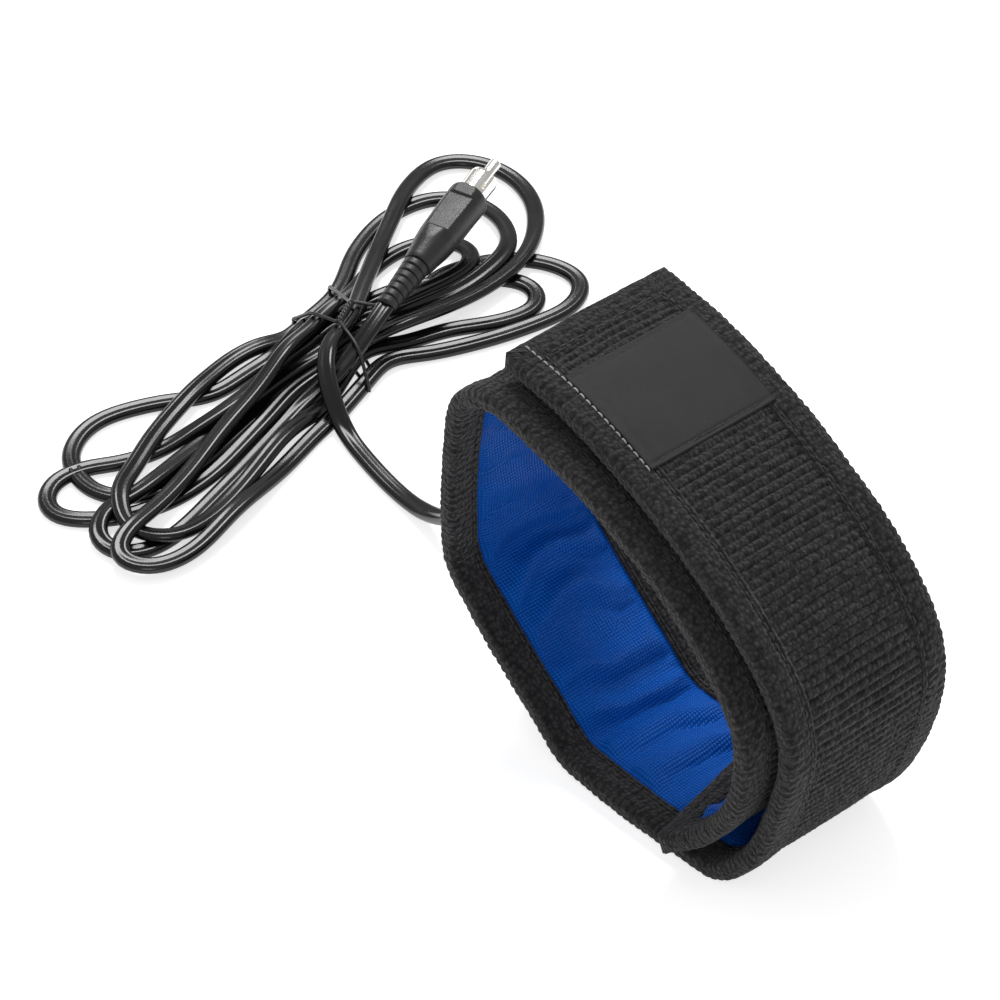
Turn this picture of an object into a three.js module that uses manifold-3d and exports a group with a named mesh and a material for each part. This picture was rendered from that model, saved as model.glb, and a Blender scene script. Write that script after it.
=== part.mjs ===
// Telescope dew heater strip: a padded, electrically heated strip wound on itself and closed by
// hook-and-loop tape, with its flat lead folded into a tied hank that ends in a phono plug.
// Millimetres, +Z up, the wound strip standing on its edge with the axis of the loop along Y.

import * as THREE from 'three';
import { mergeVertices } from 'three/addons/utils/BufferGeometryUtils.js';
import Module from 'manifold-3d';

const wasm = await Module();
wasm.setup();

// Wound loop
const loopWidth = 117;
const loopHeight = 108;
const stripWidth = 50;
const turnGap = 1.1;
const stationTurn = 0.17;
const stationReach = 9;

// Make-up of the strip, from its outside face to its inside face
const seat = 0.3;
const bindingWall = 0.5;
const bindingFold = 8.5;
const bindingTuck = 0.05;
const ribPitch = 2.3;
const ribHeight = 0.45;
const webbingBase = 0.5;
const padThickness = 1;
const wireSize = 0.5;
const liningThickness = 0.4;
const puckerHeight = 1;
const puckerPitch = 13;

// Closure and label
const hookLength = 52;
const hookThickness = 0.8;
const labelLength = 33;
const labelFromEnd = 15;
const labelThickness = 0.35;

// Heating element and its joints
const wireSpread = 22;
const sleeveRadius = 0.7;
const sleeveLength = 9;
const coreRadius = 0.5;
const coreSpacing = 2.4;

// Lead
const cordWidth = 5;
const cordThickness = 2.7;
const entryAcross = 3;
const patchLength = 20;
const patchWidth = 18;
const patchThickness = 0.8;
const patchProud = 1;
const bootLength = 15;
const bootWall = 1.6;
const hankHeight = 8.5;
const bundleHeight = 8.6;
const bundleWidth = 32;
const bundleLength = 15;
const tieWidth = 2;
const tieWall = 0.8;
const tieTailRadius = 1.1;

// Phono plug
const pinRadius = 1.6;
const pinReach = 15.5;
const shellRadius = 4.15;
const shellWall = 0.4;
const shellReach = 8;
const shellSlot = 0.9;
const pocketDepth = 3;
const insulatorReach = 0.8;
const bodyRadius = 5.4;
const shoulderRadius = 4;
const bodyLength = 28.5;
const reliefLength = 16.5;
const reliefRadius = 3.4;
const reliefRibs = 6;
const gripDepth = 0.6;
const gripGrooves = 7;

// Heights of the layers above the middle of the strip
const stripThickness = 2 * bindingWall + 5 * seat + ribHeight + webbingBase + padThickness
  + wireSize + liningThickness;
const outerFace = stripThickness / 2;
const innerFace = -stripThickness / 2;
const ribCrest = outerFace - bindingWall - seat;
const ribValley = ribCrest - ribHeight;
const webbingBack = ribValley - webbingBase;
const padTop = webbingBack - seat;
const padBottom = padTop - padThickness;
const wireTop = padBottom - seat;
const wireBottom = wireTop - wireSize;
const liningBack = wireBottom - seat;
const liningFace = liningBack - liningThickness;
const halfStrip = stripWidth / 2;
const halfWindow = halfStrip - bindingFold;

// Outline of the loop through the middle of the strip, clockwise from the flap end as seen from
// the near side: x as a share of the half width, z as a share of the height, then how far the
// strip lies to the far side in mm.
const outline = [
  [-0.78, 1, 7], [-0.39, 0.98, 7], [0.055, 0.909, 7], [0.41, 0.821, 7], [0.7, 0.714, 7],
  [0.92, 0.583, 7], [0.99, 0.461, 6.6], [0.95, 0.276, 5.6], [0.84, 0.11, 4.4], [0.65, 0.004, 3],
  [0.48, 0, 2], [0.15, 0, 0.6], [-0.21, 0.004, 0], [-0.43, 0.085, 0], [-0.8, 0.24, 0],
  [-0.972, 0.335, 0], [-1, 0.461, 0], [-0.975, 0.7, 0], [-0.9, 0.86, 0],
];
const entryShoulder = outline.length - 4;

// The second turn follows the same outline inside the first: how much further in than one
// strip thickness it lies at each point, and its own sideways place.
const secondTurn = [
  [2.4, 0], [1.2, 0.2], [0.8, 0.6], [1.2, 1], [1.8, 1], [1.6, 0.6], [1.2, 0], [0.6, -0.8],
  [2.6, -2.4], [0.6, -5], [0, -7.4],
];

function outlinePoint(index) {
  const [x, z, sideways] = outline[(index + outline.length) % outline.length];
  return new THREE.Vector3(
    x * (loopWidth - stripThickness) / 2,
    sideways,
    stripThickness / 2 + z * (loopHeight - stripThickness),
  );
}

function inwardAt(index) {
  const run = outlinePoint(index + 1).sub(outlinePoint(index - 1));
  return new THREE.Vector3(run.z, 0, -run.x).normalize();
}

function windingCurve() {
  const points = outline.map((entry, index) => outlinePoint(index));
  secondTurn.forEach(([further, sideways], index) => {
    const inset = stripThickness + turnGap + further;
    const point = outlinePoint(index).addScaledVector(inwardAt(index), inset);
    points.push(point.setY(sideways));
  });
  return new THREE.CatmullRomCurve3(points, false, 'centripetal');
}

// One frame for each rib: where the middle of the strip is, the way it runs, the way across it
// and the way out of the loop. What would dip into the floor lies flat on it.
const winding = windingCurve();
const stripLength = winding.getLength();
const ribCount = Math.round(stripLength / ribPitch);
const ribStep = stripLength / ribCount;
const middleLine = winding.getSpacedPoints(ribCount);
middleLine.forEach((point) => point.setZ(Math.max(point.z, stripThickness / 2)));
const frames = middleLine.map((centre, index) => {
  const before = middleLine[Math.max(index - 1, 0)];
  const after = middleLine[Math.min(index + 1, ribCount)];
  const along = after.clone().sub(before).normalize();
  const across = new THREE.Vector3(0, 1, 0);
  const outward = along.clone().cross(across).normalize();
  return { at: index * ribStep, centre, along, across, outward };
});

// Stations, where the flat layers are creased to follow the loop
const stations = [frames[0]];
frames.forEach((frame, index) => {
  const last = stations[stations.length - 1];
  const turned = frame.along.angleTo(last.along);
  const due = turned > stationTurn || frame.at - last.at > stationReach;
  if (index === ribCount || (due && index > 0)) {
    stations.push(frame);
  }
});

function placed(frame, across, outward) {
  return frame.centre.clone()
    .addScaledVector(frame.across, across)
    .addScaledVector(frame.outward, outward);
}

// Stands the strip centrally over the origin
const extent = new THREE.Box3();
stations.forEach((frame) => [-halfStrip, halfStrip].forEach((across) => {
  extent.expandByPoint(placed(frame, across, outerFace));
  extent.expandByPoint(placed(frame, across, innerFace));
}));
extent.min.x -= patchProud;
const offCentre = extent.getCenter(new THREE.Vector3()).setZ(0);
frames.forEach((frame) => frame.centre.sub(offCentre));

// Takes a place on the flat strip, given along it, across it and out of it, to the wound strip
function wound(along, across, outward) {
  let next = stations.findIndex((frame) => frame.at >= along);
  next = next < 1 ? (next < 0 ? stations.length - 1 : 1) : next;
  const from = stations[next - 1];
  const to = stations[next];
  const share = (along - from.at) / (to.at - from.at);
  return placed(from, across, outward).lerp(placed(to, across, outward), share);
}

function stationsBetween(start, end) {
  const inside = stations.map((frame) => frame.at).filter((at) => at > start && at < end);
  return [start, ...inside, end];
}

// Joins rings of points into one closed body; every ring has the same number of points
function loftOf(rings) {
  const size = rings[0].length;
  const positions = rings.flat().flatMap((point) => [point.x, point.y, point.z]);
  const faces = [];
  for (let ring = 0; ring < rings.length - 1; ring += 1) {
    for (let side = 0; side < size; side += 1) {
      const a = ring * size + side;
      const b = ring * size + (side + 1) % size;
      faces.push(a, a + size, b, b, a + size, b + size);
    }
  }
  const flat = rings.map((ring) => ring.map((point) => point.clone()));
  const capOf = (ring) => {
    const middle = ring.reduce((sum, point) => sum.add(point), new THREE.Vector3())
      .divideScalar(size);
    const first = ring[0].clone().sub(middle).normalize();
    const normal = new THREE.Vector3();
    ring.forEach((point, index) => {
      const next = ring[(index + 1) % size];
      normal.add(point.clone().sub(middle).cross(next.clone().sub(middle)));
    });
    const second = normal.normalize().clone().cross(first);
    const contour = ring.map((point) => {
      const offset = point.clone().sub(middle);
      return new THREE.Vector2(offset.dot(first), offset.dot(second));
    });
    return THREE.ShapeUtils.triangulateShape(contour, []);
  };
  capOf(flat[0]).forEach(([a, b, c]) => faces.push(a, b, c));
  const last = (rings.length - 1) * size;
  capOf(flat[rings.length - 1]).forEach(([a, b, c]) => faces.push(last + c, last + b, last + a));
  const geometry = new THREE.BufferGeometry();
  geometry.setAttribute('position', new THREE.Float32BufferAttribute(positions, 3));
  geometry.setIndex(faces);
  return geometry;
}

// A layer of the strip between two lines across it: low and high are its lower and upper faces
function layer({ start, end, near = -halfStrip, far = halfStrip, low, high, places }) {
  const columns = places ?? stationsBetween(start, end);
  return loftOf(columns.map((at) => [
    wound(at, near, low),
    wound(at, far, low),
    wound(at, far, typeof high === 'function' ? high(at) : high),
    wound(at, near, typeof high === 'function' ? high(at) : high),
  ].reverse()));
}

function solidOf(geometry) {
  const bare = new THREE.BufferGeometry();
  bare.setAttribute('position', geometry.getAttribute('position').clone());
  if (geometry.index) {
    bare.setIndex(geometry.index.clone());
  }
  const merged = mergeVertices(bare, 1e-4);
  return new wasm.Manifold(new wasm.Mesh({
    numProp: 3,
    vertProperties: new Float32Array(merged.getAttribute('position').array),
    triVerts: new Uint32Array(merged.index.array),
  }));
}

function geometryOf(solid) {
  const mesh = solid.getMesh();
  const geometry = new THREE.BufferGeometry();
  geometry.setAttribute('position', new THREE.Float32BufferAttribute(mesh.vertProperties, 3));
  geometry.setIndex(new THREE.Uint32BufferAttribute(mesh.triVerts, 1));
  return geometry;
}

function cut(body, ...tools) {
  return geometryOf(tools.reduce((left, tool) => left.subtract(solidOf(tool)), solidOf(body)));
}

function joined(...bodies) {
  return geometryOf(bodies.slice(1).reduce((sum, body) => sum.add(solidOf(body)), solidOf(bodies[0])));
}

const group = new THREE.Group();
group.name = 'dew_heater_strip';

function finish(name, color, roughness, metalness = 0) {
  return new THREE.MeshStandardMaterial({ name, color, roughness, metalness });
}

const loopPile = finish('loop_pile', 0x2b2a2c, 0.95);
const knitTape = finish('knit_tape', 0x262527, 0.95);
const blueNylon = finish('blue_nylon', 0x1346b8, 0.55);
const foam = finish('foam', 0x8f8f8c, 0.9);
const satin = finish('satin', 0x2a2a2b, 0.5);
const hookNylon = finish('hook_nylon', 0x1c1c1d, 0.8);
const softPvc = finish('soft_pvc', 0x151516, 0.35);
const nickel = finish('nickel', 0xc9c7c2, 0.25, 1);
const copper = finish('tinned_copper', 0xb8a58c, 0.35, 1);
const resistance = finish('resistance_alloy', 0x8d8a85, 0.4, 1);
const insulator = finish('insulator', 0xe8e6df, 0.5);

function add(name, geometry, material, parent = group) {
  const mesh = new THREE.Mesh(geometry, material);
  mesh.name = name;
  parent.add(mesh);
  return mesh;
}

// Place where the lead goes in, on the shoulder low on the left of the loop
const entryTarget = outlinePoint(entryShoulder).sub(offCentre);
const entryAt = frames.reduce((best, frame) => (
  frame.centre.distanceTo(entryTarget) < best.centre.distanceTo(entryTarget) ? frame : best
)).at;
const holeSize = cordThickness + 2 * seat;
const entryHole = (low, high) => layer({
  start: entryAt - holeSize / 2,
  end: entryAt + holeSize / 2,
  near: entryAcross - cordWidth / 2,
  far: entryAcross + cordWidth / 2,
  low,
  high,
});

// Outside face: loop-pile webbing with a rib across it every ribPitch
function outerWebbing() {
  const inset = bindingWall + seat;
  const firstRib = Math.ceil(inset / ribStep);
  const lastRib = ribCount - firstRib;
  const places = [inset];
  for (let rib = firstRib; rib < lastRib; rib += 1) {
    places.push(rib * ribStep, (rib + 0.5) * ribStep);
  }
  places.push(lastRib * ribStep, stripLength - inset);
  const crest = (at) => {
    const phase = at / ribStep - Math.floor(at / ribStep + 1e-6);
    return Math.abs(phase - 0.5) < 0.1 ? ribCrest : ribValley;
  };
  const web = layer({
    places,
    near: -halfStrip + inset,
    far: halfStrip - inset,
    low: webbingBack,
    high: crest,
  });
  return cut(web, entryHole(webbingBack - 1, ribCrest + 1));
}

// Tape folded over both long edges and both ends, with a window on each face
function edgeBinding() {
  const innerTop = outerFace - bindingWall;
  const innerLow = innerFace + bindingWall;
  const sideTape = (side) => {
    const rim = side * halfStrip;
    const wall = side * (halfStrip - bindingWall);
    const hem = side * halfWindow;
    const section = [
      [rim, innerFace], [rim, outerFace], [hem, outerFace], [hem, innerTop],
      [wall, innerTop], [wall, innerLow], [hem, innerLow], [hem, innerFace],
    ];
    const ordered = side > 0 ? section.reverse() : section;
    return loftOf(stationsBetween(0, stripLength).map(
      (at) => ordered.map(([across, outward]) => wound(at, across, outward)),
    ));
  };
  const piece = (from, to, tuck, low, high) => layer({
    start: Math.min(from, to),
    end: Math.max(from, to),
    near: tuck - halfStrip,
    far: halfStrip - tuck,
    low,
    high,
  });
  const endTape = (rim, way) => {
    const leafRim = rim + way * bindingTuck;
    const hem = rim + way * bindingFold;
    const noseTuck = 2 * bindingTuck;
    return [
      piece(leafRim, hem, bindingTuck, innerTop + bindingTuck, outerFace - bindingTuck),
      piece(leafRim, hem, bindingTuck, innerFace + bindingTuck, innerLow - bindingTuck),
      piece(rim + way * noseTuck, rim + way * bindingWall, noseTuck,
        innerFace + noseTuck, outerFace - noseTuck),
    ];
  };
  return joined(sideTape(-1), sideTape(1), ...endTape(0, 1), ...endTape(stripLength, -1));
}

function pad() {
  const body = layer({
    start: bindingFold,
    end: stripLength - bindingFold,
    near: -halfStrip + bindingWall + 2 * seat,
    far: halfStrip - bindingWall - 2 * seat,
    low: padBottom,
    high: padTop,
  });
  const pocket = layer({
    start: entryAt - 6,
    end: entryAt + 8 + sleeveLength,
    near: entryAcross - 5,
    far: entryAcross + 5,
    low: padBottom - 1,
    high: padTop + 1,
  });
  return cut(body, pocket);
}

// Inside face: thin nylon whose fullness is taken up in puckers that run across the strip
function lining() {
  const inset = bindingWall + seat;
  const flapEnd = labelFromEnd + hookLength + 20;
  const columns = stationsBetween(inset, stripLength - inset);
  const rows = [-halfStrip + inset, -halfWindow, -halfWindow / 3, halfWindow / 3, halfWindow,
    halfStrip - inset];
  const pucker = (at, across) => {
    const fullness = Math.min(1, Math.max(0, (at - flapEnd) / 20));
    const near = Math.min(1, Math.max(0, (stripLength - bindingFold - at) / 10));
    const wave = 0.5 - 0.5 * Math.cos((2 * Math.PI * at) / puckerPitch + across * 0.09);
    const reach = Math.abs(across) < halfWindow - 1 ? 1 : 0;
    return puckerHeight * fullness * near * wave * reach;
  };
  return loftOf(columns.map((at) => [
    wound(at, rows[0], liningBack),
    ...rows.map((across) => wound(at, across, liningFace - pucker(at, across))),
    wound(at, rows[rows.length - 1], liningBack),
  ].reverse()));
}

// Resistance wire laid along the pad as one long hairpin
function heatingWire() {
  const start = entryAt + 4 + sleeveLength + seat;
  const end = stripLength - bindingFold - 5;
  const run = (across) => layer({
    start,
    end,
    near: across - wireSize / 2,
    far: across + wireSize / 2,
    low: wireBottom,
    high: wireTop,
  });
  const bridge = (from, near, far) => layer({
    start: from,
    end: from + wireSize,
    near,
    far,
    low: wireBottom,
    high: wireTop,
  });
  const nearRun = entryAcross - wireSpread;
  const farRun = entryAcross - coreSpacing / 2;
  const tail = layer({
    start: start,
    end: start + 6,
    near: entryAcross + coreSpacing / 2 - wireSize / 2,
    far: entryAcross + coreSpacing / 2 + wireSize / 2,
    low: wireBottom,
    high: wireTop,
  });
  const farOut = entryAcross + coreSpacing / 2 + 7;
  return joined(
    run(nearRun),
    layer({
      start: start + 6 - wireSize,
      end,
      near: farOut - wireSize / 2,
      far: farOut + wireSize / 2,
      low: wireBottom,
      high: wireTop,
    }),
    bridge(end - wireSize, nearRun - wireSize / 2, farOut + wireSize / 2),
    bridge(start, nearRun - wireSize / 2, farRun + wireSize / 2),
    tail,
    bridge(start + 6 - wireSize, entryAcross + coreSpacing / 2 - wireSize / 2, farOut + wireSize / 2),
  );
}

function tube(points, shape, steps) {
  const path = new THREE.CatmullRomCurve3(points, false, 'centripetal');
  return new THREE.ExtrudeGeometry(shape, { steps, bevelEnabled: false, extrudePath: path });
}

function roundShape(halfWide, halfHigh, sides) {
  const corners = [];
  for (let side = 0; side < sides; side += 1) {
    const angle = (2 * Math.PI * (side + 0.5)) / sides;
    corners.push(new THREE.Vector2(halfWide * Math.cos(angle), halfHigh * Math.sin(angle)));
  }
  return new THREE.Shape(corners);
}

const sleeveHeight = (wireTop + wireBottom) / 2 + sleeveRadius / 2;
const sleeveStart = entryAt + 4;

function jointSleeve(across) {
  const ends = [sleeveStart, sleeveStart + sleeveLength];
  return tube(ends.map((at) => wound(at, across, sleeveHeight)), roundShape(sleeveRadius, sleeveRadius, 8), 1);
}

function coreWire(across) {
  const start = outerFace + patchThickness - seat;
  const points = [
    wound(entryAt, across, start),
    wound(entryAt, across, ribValley),
    wound(entryAt + 0.6, across, sleeveHeight + 0.5),
    wound(entryAt + 2, across, sleeveHeight),
    wound(sleeveStart - seat, across, sleeveHeight),
  ];
  return tube(points, roundShape(coreRadius, coreRadius, 6), 8);
}

// Strip, inside and out
add('outer_webbing', outerWebbing(), loopPile);
add('edge_binding', edgeBinding(), knitTape);
add('insulation_pad', pad(), foam);
add('lining', lining(), blueNylon);
add('heating_wire', heatingWire(), resistance);
[['joint_sleeve_near', -coreSpacing / 2], ['joint_sleeve_far', coreSpacing / 2]].forEach(
  ([name, offset]) => add(name, jointSleeve(entryAcross + offset), copper),
);
[['core_wire_near', -coreSpacing / 2], ['core_wire_far', coreSpacing / 2]].forEach(
  ([name, offset]) => add(name, coreWire(entryAcross + offset), softPvc),
);
add('hook_patch', layer({
  start: labelFromEnd,
  end: labelFromEnd + hookLength,
  near: -halfWindow + seat,
  far: halfWindow - seat,
  low: liningFace - seat - hookThickness,
  high: liningFace - seat,
}), hookNylon);
add('label', layer({
  start: labelFromEnd,
  end: labelFromEnd + labelLength,
  near: -halfWindow + seat,
  far: halfWindow - seat,
  low: ribCrest + seat,
  high: ribCrest + seat + labelThickness,
}), satin);

// Sewn patch over the opening for the lead
const patchFrom = entryAt - patchLength / 2;
const patchUnder = outerFace + seat;
add('entry_patch', cut(
  layer({
    start: patchFrom,
    end: patchFrom + patchLength,
    near: entryAcross - patchWidth / 2,
    far: entryAcross + patchWidth / 2,
    low: ribCrest + seat,
    high: patchUnder + patchThickness,
  }),
  entryHole(ribCrest - 1, patchUnder + patchThickness + 1),
), knitTape);

// Boot on the patch, an oval sleeve that tapers along the lead and is grooved so that it flexes
const entryFrame = frames.find((frame) => frame.at === entryAt);
const bootFoot = placed(entryFrame, entryAcross, patchUnder + patchThickness + seat);

function bootGeometry() {
  const bore = cordWidth / 2 + seat;
  const foot = bore + bootWall + 1.6;
  const profile = [[bore, 0], [foot, 0], [foot, 1.4], [bore + bootWall, 2.4]];
  for (let groove = 0; groove < 3; groove += 1) {
    const at = 4 + groove * 3.4;
    const wall = bootWall - 0.2 * (groove + 1);
    profile.push([bore + wall, at], [bore + wall - 0.6, at + 0.6]);
    profile.push([bore + wall - 0.6, at + 1.6], [bore + wall - 0.1, at + 2.2]);
  }
  profile.push([bore + 0.7, bootLength], [bore, bootLength], [bore, 0]);
  const sleeve = new THREE.LatheGeometry(profile.map(([x, y]) => new THREE.Vector2(x, y)), 16);
  return sleeve.rotateX(Math.PI / 2).scale(1, (cordThickness / 2 + seat) / bore * 1.02, 1);
}

const boot = add('cord_boot', bootGeometry(), softPvc);
boot.position.copy(bootFoot);
boot.quaternion.setFromRotationMatrix(new THREE.Matrix4().makeBasis(
  entryFrame.across,
  entryFrame.outward.clone().cross(entryFrame.across),
  entryFrame.outward,
));

// Lead from the hank over the floor and up to the boot, then into the patch
const cordLift = cordThickness / 2;
const leadRoute = [
  [-159, 20], [-152.5, 15], [-145, 12.4], [-131, 9.2], [-118, 7.6],
].map(([x, y]) => new THREE.Vector3(x, y, cordLift));
const bootMouth = bootLength + patchUnder + patchThickness;
leadRoute.push(
  new THREE.Vector3(-107, 6.9, 2.4),
  new THREE.Vector3(-97, 5.9, 6.4),
  new THREE.Vector3(-86.5, 4.6, 13.4),
  placed(entryFrame, entryAcross, bootMouth + 5),
  placed(entryFrame, entryAcross, bootMouth),
  placed(entryFrame, entryAcross, patchUnder + patchThickness + 2 * seat),
);
const cordOval = (sides) => roundShape(cordThickness / 2, cordWidth / 2, sides);

// Hank: the runs of the lead folded into two lobes, gathered in the bundle that the tie holds
const hankOutline = [
  [-126, -58], [-125, -45], [-130, -30], [-137, -8], [-143, 8], [-149, 24], [-152, 33],
  [-149, 44], [-143, 62], [-138, 82], [-141, 96], [-151, 102], [-166, 104], [-176, 111],
  [-190, 116], [-207, 113], [-213, 100], [-206, 78], [-198, 58], [-187, 41], [-184, 24],
  [-184, 6], [-181, -8], [-187, -28], [-184, -46], [-175, -60], [-162, -67], [-140, -67],
];
const bundleCentre = new THREE.Vector3(-167.5, 29.5, seat + tieWall + 0.2 + bundleHeight / 2);
const bundleRun = new THREE.Vector3(-0.3, 0.954, 0).normalize();

function alongBundle(geometry) {
  const side = new THREE.Vector3(0, 0, 1).cross(bundleRun);
  const turn = new THREE.Matrix4().makeBasis(side, new THREE.Vector3(0, 0, 1), bundleRun);
  return geometry.applyMatrix4(turn.setPosition(bundleCentre));
}

function bundleSection(grown) {
  const section = new THREE.Shape();
  section.absellipse(0, 0, bundleWidth / 2 + grown, bundleHeight / 2 + grown, 0, 2 * Math.PI);
  return section;
}

function bundle(grown, length) {
  const extruded = new THREE.ExtrudeGeometry(bundleSection(grown), {
    depth: length,
    bevelEnabled: false,
    curveSegments: 20,
  });
  return alongBundle(extruded.translate(0, 0, -length / 2));
}

function hankSolid(grown = 0) {
  const corners = hankOutline.map(([x, y]) => new THREE.Vector2(x, y));
  const edge = new THREE.SplineCurve([...corners, corners[0]]).getPoints(3 * corners.length);
  edge.pop();
  const spread = edge.map((point, index) => {
    const ahead = edge[(index + 1) % edge.length];
    const behind = edge[(index + edge.length - 1) % edge.length];
    const run = ahead.clone().sub(behind).normalize();
    return new THREE.Vector2(point.x + run.y * grown, point.y - run.x * grown);
  });
  const lobes = new THREE.ExtrudeGeometry(new THREE.Shape(spread), {
    depth: hankHeight + grown,
    bevelEnabled: false,
  });
  const waist = alongBundle(new THREE.BoxGeometry(3 * bundleWidth, 40, 2 * tieWidth + 2 * seat));
  return joined(cut(lobes, waist), bundle(grown, bundleLength + 2 * grown));
}

add('cord_lead', cut(tube(leadRoute, cordOval(8), 30), hankSolid(seat)), softPvc);
add('cord_hank', hankSolid(), softPvc);

// Twist tie: a band round the bundle with its twisted ends bent down over the hank
const tieTail = tube([
  [-166.5, 29.8, 10.7], [-168.6, 34, 11.7], [-171.6, 39.5, 11.7],
].map(([x, y, z]) => new THREE.Vector3(x, y, z)), roundShape(tieTailRadius, tieTailRadius, 8), 10);
add('twist_tie', cut(
  joined(bundle(seat + tieWall, tieWidth), tieTail),
  bundle(seat, bundleLength + 2 * seat),
), softPvc);

// Phono plug, built along +Z with the front of its body at the origin and its tail behind
const plugTail = new THREE.Vector3(-162.5, 43.6, 12.4);
const plugRun = new THREE.Vector3(-21.4, 56.3, 7.6).normalize();
const plug = new THREE.Group();
const plugSide = new THREE.Vector3(0, 0, 1).cross(plugRun).normalize();
plug.position.copy(plugTail).addScaledVector(plugRun, bodyLength + reliefLength);
plug.quaternion.setFromRotationMatrix(new THREE.Matrix4().makeBasis(
  plugSide,
  plugRun.clone().cross(plugSide),
  plugRun,
));
group.add(plug);

function lathe(profile, segments = 20) {
  const points = profile.map(([x, y]) => new THREE.Vector2(x, y)).reverse();
  return new THREE.LatheGeometry(points, segments).rotateX(Math.PI / 2);
}

// Body and flexible tail are one moulding; the tail has a groove between each two of its ribs
function plugMoulding() {
  const tail = -bodyLength;
  const profile = [[0, tail - reliefLength]];
  const step = reliefLength / reliefRibs;
  for (let rib = 0; rib < reliefRibs; rib += 1) {
    const from = tail - reliefLength + rib * step;
    const radius = cordWidth / 2 + 0.3 + (reliefRadius - cordWidth / 2) * (rib + 1) / reliefRibs;
    profile.push([radius, from], [radius, from + 0.62 * step]);
    profile.push([radius - 0.7, from + 0.7 * step], [radius - 0.7, from + 0.94 * step]);
  }
  profile.push(
    [shoulderRadius, tail], [shoulderRadius + 0.7, tail + 2], [bodyRadius - 0.3, tail + 7],
    [bodyRadius, tail + 10], [bodyRadius, -3.4], [bodyRadius - 0.5, -3.1], [bodyRadius - 0.5, -2.6],
    [bodyRadius, -2.3], [bodyRadius, -0.6], [bodyRadius - 0.6, 0],
  );
  const bore = shellRadius + seat;
  profile.push([bore, 0], [bore, -pocketDepth - seat], [0, -pocketDepth - seat]);
  const cutters = [];
  [1, -1].forEach((side) => {
    for (let groove = 0; groove < gripGrooves; groove += 1) {
      const slot = new THREE.BoxGeometry(0.9, 2 * gripDepth + 1, 12);
      const across = (groove - (gripGrooves - 1) / 2) * 1.15;
      cutters.push(slot.translate(across, side * (bodyRadius + 0.5), tail + 17));
    }
  });
  return cut(lathe(profile.reverse()), ...cutters);
}

function shellGeometry() {
  const inner = shellRadius - shellWall;
  const ring = lathe([
    [inner, -pocketDepth], [inner, shellReach - 0.6], [shellRadius - 0.2, shellReach],
    [shellRadius + 0.15, shellReach - 1.2], [shellRadius, 1], [shellRadius, -pocketDepth],
    [inner, -pocketDepth],
  ], 24);
  const depth = shellReach - 1.2;
  const slots = [0, Math.PI / 2].map((angle) => (
    new THREE.BoxGeometry(4 * shellRadius, shellSlot, depth)
      .translate(0, 0, 1.8 + depth / 2).rotateZ(angle + Math.PI / 4)
  ));
  return cut(ring, ...slots);
}

add('plug_moulding', plugMoulding(), softPvc, plug);
add('plug_shell', shellGeometry(), nickel, plug);
add('plug_insulator', lathe([
  [pinRadius + seat, -pocketDepth], [pinRadius + seat, insulatorReach],
  [shellRadius - shellWall - seat, insulatorReach], [shellRadius - shellWall - seat, -pocketDepth],
  [pinRadius + seat, -pocketDepth],
]), insulator, plug);
add('plug_pin', lathe([
  [0, pinReach], [0.9, pinReach - 0.25], [pinRadius, pinReach - 1.2], [pinRadius, -pocketDepth],
  [0, -pocketDepth],
], 16), nickel, plug);

// Short run of the lead from the bundle to the plug
const tailRoute = [
  plugTail.clone().addScaledVector(plugRun, -seat),
  plugTail.clone().addScaledVector(plugRun, -4),
  new THREE.Vector3(-160, 37.1, 10.9),
  new THREE.Vector3(-160.6, 33, 8.1),
];
add('cord_tail', cut(tube(tailRoute, cordOval(8), 8), hankSolid(seat)), softPvc);

export default group;
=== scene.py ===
import math

import bpy
import numpy as np
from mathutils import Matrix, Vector


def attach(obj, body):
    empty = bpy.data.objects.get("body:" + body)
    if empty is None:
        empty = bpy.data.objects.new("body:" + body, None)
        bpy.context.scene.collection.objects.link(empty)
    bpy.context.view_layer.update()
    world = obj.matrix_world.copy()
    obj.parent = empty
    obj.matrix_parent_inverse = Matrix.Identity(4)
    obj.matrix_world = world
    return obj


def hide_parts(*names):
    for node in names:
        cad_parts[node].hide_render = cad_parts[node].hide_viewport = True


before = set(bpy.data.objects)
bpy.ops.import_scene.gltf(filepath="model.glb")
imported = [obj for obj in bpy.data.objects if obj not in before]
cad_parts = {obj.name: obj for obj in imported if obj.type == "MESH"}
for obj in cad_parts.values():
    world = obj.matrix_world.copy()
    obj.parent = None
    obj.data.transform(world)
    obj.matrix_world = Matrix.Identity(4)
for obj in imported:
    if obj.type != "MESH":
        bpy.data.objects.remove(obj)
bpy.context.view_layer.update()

mm = 0.001
print("frame loaded")


# Meshes from arrays

# A grid of quads over rows and columns; a closed direction joins its last line to its first
def gridFaces(rows, columns, closeRows=False, closeColumns=False):
    i = np.arange(rows if closeRows else rows - 1)
    j = np.arange(columns if closeColumns else columns - 1)
    i, j = np.meshgrid(i, j, indexing="ij")
    i, j = i.ravel(), j.ravel()
    steps = np.stack([
        np.stack([i, j], 1), np.stack([i + 1, j], 1), np.stack([i + 1, j + 1], 1),
        np.stack([i, j + 1], 1),
    ], 1)
    quads = (steps[:, :, 0] % rows) * columns + steps[:, :, 1] % columns
    return quads, steps


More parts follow.
